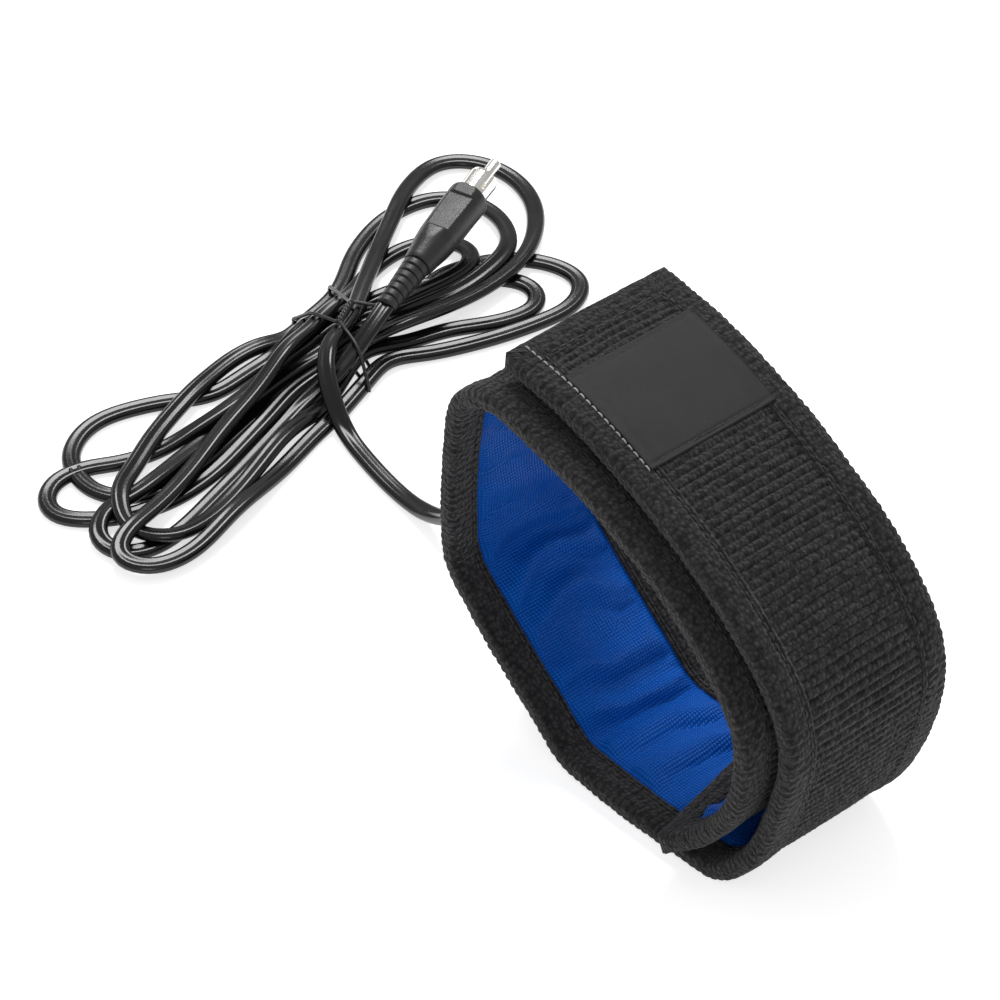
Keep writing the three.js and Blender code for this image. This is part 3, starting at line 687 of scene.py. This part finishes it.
def dress(piece, finish):
    piece.data.materials.clear()
    piece.data.materials.append(finishes[finish])


# A piece's finish and the CAD nodes that it stands for, which are hidden; the piece is attached to the
# root. The slot is not used.
def register(piece, finish, slot, *nodes):
    dress(piece, finish)
    if nodes:
        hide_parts(*nodes)
    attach(piece, "root")


# Turns a closed surface the right way out, by the sign of its volume
def faceOutwards(piece):
    mesh = piece.data
    mesh.calc_loop_triangles()
    points = np.empty(len(mesh.vertices) * 3, np.float32)
    mesh.vertices.foreach_get("co", points)
    points = points.reshape(-1, 3).astype(float)
    points = points - points.mean(axis=0)
    corners = np.empty(len(mesh.loop_triangles) * 3, np.int32)
    mesh.loop_triangles.foreach_get("vertices", corners)
    a, b, c = points[corners.reshape(-1, 3)].transpose(1, 0, 2)
    if np.einsum("ij,ij->i", a, np.cross(b, c)).sum() < 0:
        mesh.flip_normals()


def stripSurface(name, s, y, h, u, v, closeRows=False):
    points = onStrip(s, y, h)
    points[..., 2] = np.maximum(points[..., 2], 0.02)
    piece = makeSurface(name, points, u, v, closeRows, True, not closeRows)
    faceOutwards(piece)
    return piece


# Flat places of a closed sheet: across its face from edge to edge, then back underneath
def sheetGrid(s, edge, columns):
    front, under = columns
    across = np.concatenate([np.linspace(-edge, edge, front), np.linspace(edge, -edge, under)])
    ss, yy = np.meshgrid(s, across, indexing="ij")
    return ss, yy, np.concatenate([across, across[:1]]) * mm


# Outer webbing: ribs across the strip, each a row of yarn loops. Height is the rounded rib
# profile along the strip, times the loops across it, with the back side flat.
webbingValues = {
    "ribPitch": 2.3,
    "ribHeight": 0.8,
    "crest": 2.1,
    "loopPitch": 1.7,
    "loopHeight": 0.09,
    "crown": 0.35,
    "back": 0.95,
    "edge": 17.3,
    "fromEnd": 0.6,
    "columns": (42, 6),
}


def makeWebbing(v):
    s = np.arange(v["ribPitch"] / 4, stripLength - v["fromEnd"], v["ribPitch"] / 8)
    ss, yy, vv = sheetGrid(s, v["edge"], v["columns"])
    sway = 0.5 * latticeNoise(ss / 40, yy / 13, 9)
    rib = np.abs(np.sin(np.pi * (ss + sway) / v["ribPitch"])) ** 0.6
    odd = np.floor((ss + sway) / v["ribPitch"]) % 2
    drift = 0.3 * latticeNoise(ss / 31, yy / 9, 8)
    loops = np.cos(2 * np.pi * (yy / v["loopPitch"] + 0.5 * odd + drift))
    h = v["crest"] - v["ribHeight"] * (1 - rib) + v["loopHeight"] * loops * rib
    h = h + v["crown"] * (1 - (yy / v["edge"]) ** 2)
    h = h + 0.07 * latticeNoise(ss / 0.9, yy / 1.1, 21) + 0.1 * latticeNoise(ss / 6, yy / 7, 22)
    h[:, v["columns"][0]:] = v["back"]
    return stripSurface("ribbedWebbing", ss, yy, h, s * mm, vv)


webbing = makeWebbing(webbingValues)
register(webbing, "webbing", "webbing", "outer_webbing")
print("webbing made")


# Edge binding: a folded tape round all four sides. Its section runs from the sewn edge on the
# outer face, over the rim and back to the sewn edge inside; it is carried round the flat strip
# and fanned at the corners. Ribs that run across the strip push it out along its own normal.
bindingValues = {
    "fold": 8.5,
    "stitchAt": 1.3,
    "stitchDip": 0.45,
    "bulge": 0.1,
    "rib": 0.42,
    "bump": 0.1,
    "rowPitch": 2.1,
    "corner": 3.0,
    "innerCorner": 6.0,
    "step": 0.525,
}


def bindingSection(v):
    nose = halfThick - 0.15
    flatEnd = v["fold"] - nose
    top = np.linspace(0, flatEnd, 13)
    angle = np.linspace(np.pi / 2, -np.pi / 2, 13)[1:-1]
    dip = v["stitchDip"] * np.exp(-((top - v["stitchAt"]) / 0.55) ** 2)
    swell = v["bulge"] * np.sin(np.pi * np.clip((top - v["stitchAt"]) / (flatEnd * 1.3), 0, 1))
    rise = smoothStep(top, -0.6, 0.5)
    face = nose - dip + swell - 0.5 * (1 - rise)
    w = np.concatenate([top, flatEnd + nose * np.cos(angle) ** 0.6, top[::-1]])
    noseRise = nose * np.sign(np.sin(angle)) * np.abs(np.sin(angle)) ** 0.75
    h = np.concatenate([face, noseRise, -face[::-1]])
    edge = np.gradient(np.stack([w, h], 1), axis=0)
    normal = np.stack([-edge[:, 1], edge[:, 0]], 1)
    normal /= np.linalg.norm(normal, axis=1, keepdims=True)
    inner = [(0.0, -(nose - 1.1)), (flatEnd + 0.5, -(nose - 1.0)), (flatEnd + 1.6, 0.0),
             (flatEnd + 0.5, nose - 1.0), (0.0, nose - 1.1)]
    return w, h, normal, np.array(inner)


def roundCorner(s, y, outerRadius, innerRadius):
    radius = np.where(s < stripLength / 2, outerRadius, innerRadius)
    fromEnd = np.minimum(s, stripLength - s)
    fromSide = halfWide - np.abs(y)
    a = np.maximum(radius - fromEnd, 0)
    b = np.maximum(radius - fromSide, 0)
    far = np.maximum(np.hypot(a, b) / radius, 1)
    newEnd = np.where(a > 0, radius - a / far, fromEnd)
    newSide = np.where(b > 0, radius - b / far, fromSide)
    s = np.where(s < stripLength / 2, newEnd, stripLength - newEnd)
    return s, np.sign(y) * (halfWide - newSide)


def makeBinding(v):
    w, h, normal, hidden = bindingSection(v)
    band = v["fold"]
    window = halfWide - band
    corners = [(0, -1), (1, -1), (1, 1), (0, 1)]
    spans, measures, total = [], [], 0.0
    for index, (end, side) in enumerate(corners):
        nextEnd, nextSide = corners[(index + 1) % 4]
        length = stripLength if end != nextEnd else 2 * halfWide
        t = np.arange(0, 1, v["step"] / length)[:, None]
        inner = np.clip((t * length - band) / (length - 2 * band), 0, 1)
        inner = 0.985 * inner + 0.015 * t
        inS = np.array([band + end * (stripLength - 2 * band), side * window])
        outS = np.array([end * stripLength, side * halfWide])
        inE = np.array([band + nextEnd * (stripLength - 2 * band), nextSide * window])
        outE = np.array([nextEnd * stripLength, nextSide * halfWide])
        spans.append(np.stack([inS + (inE - inS) * inner, outS + (outE - outS) * t], 1))
        measures.append(total + t[:, 0] * length)
        total += length
    span = np.concatenate(spans)
    u = np.concatenate(measures)
    allW = np.concatenate([w, hidden[:, 0]])
    allH = np.concatenate([h, hidden[:, 1]])
    share = allW / band
    flat = span[:, 0][:, None] + (span[:, 1] - span[:, 0])[:, None] * share[None, :, None]
    around = lengthsAlong(np.stack([allW, allH, allW * 0], 1))
    sway = 0.4 * latticeNoise(u / 9, 0, 31)[:, None]
    rows = np.abs(np.sin(np.pi * (flat[..., 0] + sway) / v["rowPitch"]))
    bumps = latticeNoise(u[:, None] / 0.95, around[None] / 1.05, 32)
    coarse = latticeNoise(u[:, None] / 2.6, around[None] / 2.4, 33)
    push = v["rib"] * (rows ** 0.6 - 0.8) * (0.4 + 0.6 * smoothStep(allW, 0.6, 2.2))
    push = push + v["bump"] * (bumps + 0.8 * coarse)
    push[:, len(w):] = 0
    turnOut = np.zeros((len(allW), 2))
    turnOut[:len(w)] = normal
    direction = span[:, 1] - span[:, 0]
    direction /= np.linalg.norm(direction, axis=1, keepdims=True)
    flat = flat + direction[:, None] * (push * turnOut[:, 0])[..., None]
    s, y = roundCorner(flat[..., 0], flat[..., 1], v["corner"], v["innerCorner"])
    hh = allH[None] + push * turnOut[:, 1]
    uu = np.concatenate([u, [total]]) * mm
    vv = np.concatenate([around, [around[-1] + 1]]) * mm
    return stripSurface("knittedBinding", s, y, hh, uu, vv, True)


binding = makeBinding(bindingValues)
register(binding, "binding", "binding", "edge_binding")
print("binding made")


# Lining: blue cloth gathered between the bindings. Depth is a set of soft folds across the
# strip whose crests wander, plus tighter gathers by each seam.
liningValues = {
    "face": -1.75,
    "edge": 17.4,
    "wall": 0.35,
    "puckerPitch": 13.5,
    "puckerHeight": 2.9,
    "gatherPitch": 5.2,
    "gatherHeight": 0.5,
    "pressed": (150, 200, 0.3),
    "fromEnd": 1.2,
    "step": 0.7,
    "columns": (54, 6),
}


def makeLining(v):
    s = np.arange(v["fromEnd"], stripLength - v["fromEnd"], v["step"])
    ss, yy, vv = sheetGrid(s, v["edge"], v["columns"])
    wander = 5.5 * latticeNoise(ss / 26, yy / 14, 41) + 2.0 * latticeNoise(ss / 11, yy / 8, 42)
    bend = 2.8 * (yy / v["edge"]) ** 2
    phase = (ss + wander + bend) / v["puckerPitch"]
    strength = 0.62 + 0.38 * latticeNoise(ss / 19, yy / 17, 43)
    fold = 0.5 + 0.5 * np.cos(2 * np.pi * phase)
    creased = smoothStep(latticeNoise(ss / 23, yy / 15, 45), -0.1, 0.5)
    crease = np.exp(-((phase % 1 - 0.62) / 0.05) ** 2) * creased
    fold = fold ** 1.3 * strength - 0.3 * crease
    nearSeam = smoothStep(np.abs(yy), 9, 16.5)
    gather = 0.5 + 0.5 * np.cos(2 * np.pi * (ss + wander) / v["gatherPitch"])
    depth = v["puckerHeight"] * fold * (1 - 0.45 * nearSeam) + v["gatherHeight"] * gather * nearSeam
    depth = depth + 0.4 * latticeNoise(ss / 7, yy / 6, 44)
    low, high, share = v["pressed"]
    loose = share + (1 - share) * smoothStep(ss, low, high)
    fromEnd = np.minimum(ss, stripLength - ss)
    free = (1 - smoothStep(np.abs(yy), 14.0, 16.3)) * smoothStep(fromEnd, 8.6, 11.5)
    depth = depth * loose * free
    belly = 0.6 * (1 - (yy / v["edge"]) ** 2) * loose * free
    h = v["face"] - depth - belly
    h[:, v["columns"][0]:] = v["face"] + v["wall"]
    return stripSurface("blueLining", ss, yy, h, s * mm, vv)


lining = makeLining(liningValues)
register(lining, "lining", "lining", "lining")
print("lining made")


# Pad and heating wire, held inside the strip: a flat soft sheet, and one long closed loop
padValues = {"top": 0.85, "bottom": -0.85, "across": 16.8, "fromEnd": 3.2, "step": 1.5,
             "columns": (18, 18)}
wireValues = {"radius": 0.22, "height": -1.15, "across": 11.5, "fromEnd": 14.0, "step": 1.5}


def makePad(v):
    s = np.arange(v["fromEnd"], stripLength - v["fromEnd"], v["step"])
    ss, yy, vv = sheetGrid(s, v["across"], v["columns"])
    h = np.full_like(ss, v["top"]) + 0.08 * latticeNoise(ss / 4, yy / 4, 61)
    h[:, v["columns"][0]:] = v["bottom"]
    return stripSurface("softPad", ss, yy, h, s * mm, vv)


def makeWire(v):
    fromEnd = v["fromEnd"] + v["across"]
    s = np.arange(fromEnd, stripLength - fromEnd, v["step"])
    turn = np.linspace(-np.pi / 2, np.pi / 2, 24)[1:-1]
    round1 = np.stack([s[-1] + v["across"] * np.cos(turn), v["across"] * np.sin(turn)], 1)
    round2 = np.stack([s[0] - v["across"] * np.cos(turn), -v["across"] * np.sin(turn)], 1)
    flat = np.concatenate([
        np.stack([s, s * 0 - v["across"]], 1), round1,
        np.stack([s[::-1], s * 0 + v["across"]], 1), round2,
    ])
    path = onStrip(flat[:, 0], flat[:, 1], np.full(len(flat), v["height"]))
    run = np.roll(path, -1, axis=0) - np.roll(path, 1, axis=0)
    run /= np.linalg.norm(run, axis=1, keepdims=True)
    up = onStrip(flat[:, 0], flat[:, 1], np.full(len(flat), v["height"] + 1)) - path
    side = np.cross(run, up)
    angle = np.linspace(0, 2 * np.pi, 8, endpoint=False)
    rings = path[:, None] + v["radius"] * (
        side[:, None] * np.cos(angle)[None, :, None] + up[:, None] * np.sin(angle)[None, :, None])
    u = np.arange(len(path) + 1) * v["step"] * mm
    piece = makeSurface("heatingWire", rings, u, np.arange(9) * 0.17 * mm, True, True)
    faceOutwards(piece)
    return piece


pad = makePad(padValues)
heatingWire = makeWire(wireValues)
register(pad, "foam", "foam", "insulation_pad")
register(heatingWire, "wire", "heating_wire", "heating_wire")

print("pad and wire made")


# Label: satin tape sewn over the webbing near the flap end. A flat sheet with softly rolled
# edges that follows the strip, sunk a little where it is sewn.
labelValues = {
    "start": 15.5,
    "length": 30.5,
    "across": 19.0,
    "height": 2.6,
    "overBand": 0.35,
    "thick": 0.35,
    "rows": 70,
    "columns": (60, 60),
}


def makeLabel(v):
    s = np.linspace(v["start"], v["start"] + v["length"], v["rows"])
    ss, yy, vv = sheetGrid(s, v["across"], v["columns"])
    fromEdge = np.minimum(ss - v["start"], v["start"] + v["length"] - ss)
    sewn = np.exp(-((fromEdge - 1.3) / 0.5) ** 2)
    side = v["across"] - np.abs(yy)
    sewn = np.maximum(sewn, 0.6 * np.exp(-((side - 1.0) / 0.5) ** 2))
    ripple = 0.10 * latticeNoise(ss / 7, yy / 9, 51)
    overBand = v["overBand"] * smoothStep(np.abs(yy), 14.5, 17.5)
    h = v["height"] + overBand - 0.18 * sewn + ripple
    h[:, v["columns"][0]:] -= v["thick"]
    return stripSurface("satinLabel", ss, yy, h, s * mm, vv)


label = makeLabel(labelValues)
register(label, "label", "label", "label")
print("label made")


# Rows of stitches: each one a small spindle of thread that dips into the cloth at its ends
def makeStitches(name, start, end, y, height, pitch, finish, across=False, thread=0.28):
    count = int((end - start) / pitch)
    along = np.linspace(-0.5, 0.5, 7)
    angle = np.linspace(0, 2 * np.pi, 6, endpoint=False)
    middle = start + (np.arange(count) + 0.5) * pitch
    thick = thread * np.sqrt(np.clip(1 - (2 * along) ** 6, 0.02, 1))
    run = middle[:, None, None] + along[None, :, None] * pitch * 0.86
    run = np.broadcast_to(run, (count, 7, 6))
    side = np.broadcast_to(y + thick[None, :, None] * np.cos(angle), (count, 7, 6))
    rise = height - 1.2 * thread * (2 * along) ** 2
    rise = np.broadcast_to(rise[None, :, None] + thick[None, :, None] * np.sin(angle), (count, 7, 6))
    s, w = (side, run) if across else (run, side)
    points = onStrip(s, w, rise)
    quads, steps = gridFaces(7, 6, False, True)
    offset = (np.arange(count) * 42)[:, None, None]
    allQuads = (quads[None] + offset).reshape(-1, 4)
    ends = np.stack([np.arange(6), 36 + np.arange(6)[::-1]])
    allEnds = (ends[None] + offset).reshape(-1, 6)
    uvQuads = steps / 1000 + (np.arange(count) * 0.0031)[:, None, None, None]
    uvEnds = np.zeros((len(allEnds), 6, 2))
    piece = makeMesh(name, points.reshape(-1, 3) * mm, [allQuads, allEnds], [uvQuads, uvEnds])
    dress(piece, finish)
    return piece


stitchValues = {
    "labelRow": 19.4,
    "pitch": 2.6,
    "outer": 2.35,
    "inner": -2.35,
    "labelHeight": 2.85,
}


def makeAllStitches(v):
    line = halfWide - bindingValues["fold"] + bindingValues["stitchAt"]
    ends = bindingValues["stitchAt"] + stripLength - bindingValues["fold"]
    made = [makeStitches("labelSeam", 2.0, 47.0, -v["labelRow"], v["labelHeight"], 2.1, "thread",
                         thread=0.24)]
    made.append(makeStitches("nearSeam", 7.0, ends, -line, v["outer"], v["pitch"], "blackThread"))
    made.append(makeStitches("farSeam", 7.0, ends, line, v["outer"], v["pitch"], "blackThread"))
    for name, side in (("nearInnerSeam", -line), ("farInnerSeam", line)):
        made.append(makeStitches(name, 7.0, ends, side, v["inner"], v["pitch"], "blackThread"))
    for name, edge in (("labelStartSeam", 1.3), ("labelEndSeam", labelValues["length"] - 1.3)):
        made.append(makeStitches(name, -15.5, 15.5, labelValues["start"] + edge,
                                 labelValues["height"] - 0.12, 2.0, "blackThread", True, 0.16))
    for name, place in (("flapSeam", 7.2), ("endSeam", stripLength - 7.2)):
        for face in ("outer", "inner"):
            made.append(makeStitches(name + face, -16.0, 16.0, place, v[face], v["pitch"],
                                     "blackThread", True))
    for piece in made:
        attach(piece, "root")


makeAllStitches(stitchValues)
print("stitches made")


# The cord's finish, and the wire tie round its bundle
register(cordPiece, "cord", "cord", "cord_lead", "cord_hank", "cord_tail")
faceOutwards(cordPiece)

tieValues = {
    "wire": 0.5,
    "bundle": 21.0,
    "twistFrom": (-165.6, 30.6),
    "twistTo": (-170.6, 38.4),
    "turns": 3.2,
    "tail": 7.0,
    "firstWrap": (0.6, 0.2, 0.02),
    "secondWrap": (9.0, 0.75, 0.0),
}


# Height of a wire lying on the strands at places in plan: the highest strand there, plus half
# its thickness, rounded off toward its edges, plus the wire's radius
def wireHeight(spots, radius):
    reach = cordValues["width"] / 2 + radius
    gap = np.hypot(cordPath[None, :, 0] - spots[:, None, 0], cordPath[None, :, 1] - spots[:, None, 1])
    rise = (cordValues["thick"] / 2 + radius) * np.clip(1 - (gap / reach) ** 4, 0, 1) ** 0.5
    return np.where(gap < reach, cordPath[None, :, 2] + rise, radius).max(axis=1)


# A wire pulled tight over a row of heights: the upper hull
def pulledTight(along, height):
    keep = []
    for i in range(len(along)):
        while len(keep) > 1:
            a, b = keep[-2], keep[-1]
            left = (height[b] - height[a]) * (along[i] - along[a])
            if left > (height[i] - height[a]) * (along[b] - along[a]):
                break
            keep.pop()
        keep.append(i)
    return np.interp(along, along[keep], height[keep])


# One loop of wire round the bundle, from a start on top of it: to the left, tight over the
# strands' tops, back along the floor, and up to the right of the start. Places run from left to
# right across the bundle; shear moves them along it.
def wrapPath(v, start, alongAt, shear, bow):
    across = np.linspace(-v["bundle"], v["bundle"], 160)
    along = alongAt - shear * across - bow * np.maximum(across, 0) ** 2
    spots = np.array(cordValues["tie"]) + along[:, None] * tieRun + across[:, None] * tieSide
    height = wireHeight(spots, v["wire"])
    over = np.nonzero(height > 2 * v["wire"] + 0.3)[0]
    middle = len(across) // 2
    for gap in np.nonzero(np.diff(over) > 3)[0]:
        if over[gap] < middle:
            over = over[over > over[gap]]
            break
    first, last = over[0], over[-1]
    part = slice(first, last + 1)
    top = np.concatenate([spots[part], pulledTight(across[part], height[part])[:, None]], 1)
    floor = np.concatenate([spots[part], np.full((last + 1 - first, 1), v["wire"] + 0.03)], 1)
    split = int(np.argmin(np.hypot(*(top[:, :2] - start[:2]).T)))
    left = top[:max(split - 4, 1)][::-6]
    return left, floor[3:-3][::-1][::-10], top[split + 6:][::-6]


def circleSection(radius, sides=10):
    angle = np.linspace(0, 2 * np.pi, sides, endpoint=False)
    return np.stack([radius * np.cos(angle), radius * np.sin(angle)], 1)


def makeTie(v):
    made = []
    ends = np.array([v["twistFrom"], v["twistTo"]])
    heights = wireHeight(ends, v["wire"]) + 0.7
    twistFrom, twistTo = np.concatenate([ends, heights[:, None]], 1)
    left, under, right = wrapPath(v, twistFrom, *v["firstWrap"])
    first = np.concatenate([[twistFrom], left, under, right, [twistFrom]])
    left, under, right = wrapPath(v, twistTo, *v["secondWrap"])
    second = np.concatenate([[twistTo], left, under])
    away = np.linspace(0, v["tail"], 6)[:, None]
    flatTail = twistTo[:2] + away * (tieSide * 0.9 + tieRun * 0.45)
    tail = np.concatenate([flatTail, (twistTo[2] - 0.02 * away ** 2)], 1)
    for name, path in (("tieWrap", first), ("tieSecondWrap", second), ("tieTail", tail)):
        path = evenly(smoothCurve(path, 6), 0.7)
        path[:, 2] = np.maximum(path[:, 2], v["wire"] + 0.02)
        made.append(sweep(name, path, circleSection(v["wire"])))
    t = np.linspace(0, 1, 90)
    middle = twistFrom + (twistTo - twistFrom) * t[:, None]
    run = (twistTo - twistFrom) / np.linalg.norm(twistTo - twistFrom)
    side = np.cross(run, [0, 0, 1.0])
    for index, start in enumerate((0.0, math.pi)):
        turn = start + t * 2 * math.pi * v["turns"]
        path = middle + v["wire"] * 0.98 * (
            np.cos(turn)[:, None] * side + np.sin(turn)[:, None] * np.array([0, 0, 1.0]))
        made.append(sweep(f"tieTwist{index + 1}", path, circleSection(v["wire"])))
    return made


tiePieces = makeTie(tieValues)
for piece in tiePieces:
    register(piece, "tie", "tie")
    faceOutwards(piece)
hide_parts("twist_tie")

# Plug body and its ribbed relief: rings along the plug's axis, round at the relief, and squared
# off to two flat grip panels on the body. Each ring is a rounded square of its own radius.
plugValues = {
    "tail": (-162.5, 43.6, 12.4),
    "run": (-21.4, 56.3, 7.6),
    "relief": 16.5,
    "ribs": 7,
    "body": [[16.5, 3.9], [17.3, 4.15], [20.0, 4.5], [24.0, 5.15], [27.5, 5.5], [36.0, 5.65],
             [43.6, 5.75], [44.5, 5.65], [44.95, 5.3]],
    "panel": (27.5, 41.5, 3.9),
    "sink": 0.55,
    "flatAt": 5.05,
    "squared": (19, 30),
    "pocket": 3.2,
    "bore": 4.45,
    "grain": (0.1, 0.9),
}


def makePlugBody(v):
    start = np.array(v["tail"])
    run = np.array(v["run"]) / np.linalg.norm(v["run"])
    side = np.cross([0, 0, 1.0], run)
    side /= np.linalg.norm(side)
    up = np.cross(run, side)
    at = np.arange(0.0, v["relief"], 0.16)
    pitch = v["relief"] / v["ribs"]
    swell = 2.75 + 1.0 * at / v["relief"]
    groove = smoothStep(np.abs((at / pitch) % 1 - 0.86), 0.05, 0.15)
    radius = swell - 0.8 * (1 - groove)
    body = np.array(v["body"])
    bodyAt = np.linspace(body[0, 0], body[-1, 0], 150)
    bodyRadius = np.interp(bodyAt, body[:, 0], body[:, 1])
    end = body[-1, 0]
    pocket = end - v["pocket"]
    at = np.concatenate([[0, 0], at[1:], bodyAt, [end + 0.05, end + 0.05, pocket, pocket]])
    radius = np.concatenate([[0.05], radius, bodyRadius, [5.0, v["bore"], v["bore"], 0.05]])
    angle = np.linspace(0, 2 * np.pi, 96, endpoint=False)
    rr, aa = np.meshgrid(radius, angle, indexing="ij")
    x, y = rr * np.cos(aa), rr * np.sin(aa)
    low, high, half = v["panel"]
    along = np.repeat(at[:, None], len(angle), 1)
    inside = smoothStep(along, low, low + 0.7) * (1 - smoothStep(along, high - 0.7, high))
    inside = inside * (1 - smoothStep(np.abs(x), half - 0.6, half)) * (rr > 5.0)
    flat = np.sign(y) * np.minimum(np.abs(y), v["flatAt"] - v["sink"] * inside)
    square = smoothStep(along, *v["squared"]) * (rr > 4.6)
    y = y + (flat - y) * square
    deep, pitch = v["grain"]
    grain = deep * inside * np.sin(2 * np.pi * along / pitch) * np.sin(2 * np.pi * x / pitch)
    y = y - np.sign(y) * grain * square
    points = start + along[..., None] * run + x[..., None] * side + y[..., None] * up
    u = lengthsAlong(np.stack([at, radius, at * 0], 1)) * mm
    around = np.linspace(0, 2 * np.pi * v["body"][-1][1], len(angle) + 1) * mm
    piece = makeSurface("plugBody", points, u, around, closeColumns=True, caps=True)
    faceOutwards(piece)
    return piece


plugBody = makePlugBody(plugValues)
register(plugBody, "moulded", "moulded", "plug_moulding")

print("cord and tie dressed")


# Finishes of the pieces that the frame brings
nodeFinishes = {
    "cord_boot": "moulded",
    "plug_shell": "nickel",
    "plug_insulator": "insulator",
    "plug_pin": "nickel",
    "joint_sleeve_near": "insulator",
    "joint_sleeve_far": "insulator",
    "core_wire_near": "core",
    "core_wire_far": "core",
    "hook_patch": "hook",
    "entry_patch": "hook",
}
for node, finish in nodeFinishes.items():
    dress(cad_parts[node], finish)
print("frame pieces dressed")


# Pale floor and soft studio light

stageValues = {
    "floorSize": 6.0,
    "floorColor": (0.86, 0.86, 0.86, 1),
    "seenFloor": 0.62,
    "worldLevel": 0.5,
    "keyPower": 28.0,
    "keySize": 0.8,
    "keyAt": (-0.9, 0.7, 1.6),
    "fillPower": 8.0,
    "fillAt": (1.4, -1.2, 1.3),
}


def makeStage(v):
    half = v["floorSize"] / 2
    corners = np.array([[-half, -half, 0], [half, -half, 0], [half, half, 0], [-half, half, 0]])
    floor = makeMesh("floor", corners, [np.array([[0, 1, 2, 3]])])
    material = bpy.data.materials.new("paleFloor")
    material.use_nodes = True
    tree = material.node_tree
    tree.nodes.clear()
    matte = addNode(tree, "ShaderNodeBsdfDiffuse", None, {"Color": v["floorColor"]})
    glow = addNode(tree, "ShaderNodeEmission", None, {"Color": (1, 1, 1, 1)})
    light = addNode(tree, "ShaderNodeLightPath")
    seen = light.outputs["Is Camera Ray"]
    for kind in ("Is Glossy Ray", "Is Transmission Ray"):
        seen = addNode(tree, "ShaderNodeMath", {"operation": "ADD", "use_clamp": True},
                       {0: seen, 1: light.outputs[kind]}).outputs[0]
    level = addNode(tree, "ShaderNodeMath", {"operation": "MULTIPLY"},
                    {0: seen, 1: v["seenFloor"]})
    tree.links.new(level.outputs[0], glow.inputs["Strength"])
    both = addNode(tree, "ShaderNodeAddShader", None,
                   {0: matte.outputs[0], 1: glow.outputs[0]})
    addNode(tree, "ShaderNodeOutputMaterial", None, {"Surface": both.outputs[0]})
    floor.data.materials.append(material)
    world = bpy.data.worlds.new("studio")
    bpy.context.scene.world = world
    world.use_nodes = True
    background = world.node_tree.nodes["Background"]
    background.inputs["Color"].default_value = (1, 1, 1, 1)
    background.inputs["Strength"].default_value = v["worldLevel"]
    lamps = (("key", v["keyPower"], v["keyAt"]), ("fill", v["fillPower"], v["fillAt"]))
    for name, power, place in lamps:
        lamp = bpy.data.lights.new(name, "AREA")
        lamp.energy = power
        lamp.size = v["keySize"]
        holder = bpy.data.objects.new(name, lamp)
        holder.location = place
        aim = Vector((-0.05, 0, 0.04)) - Vector(place)
        holder.rotation_euler = aim.to_track_quat("-Z", "Y").to_euler()
        bpy.context.scene.collection.objects.link(holder)


makeStage(stageValues)
bpy.context.scene.view_settings.view_transform = "Standard"
print("stage and light set")
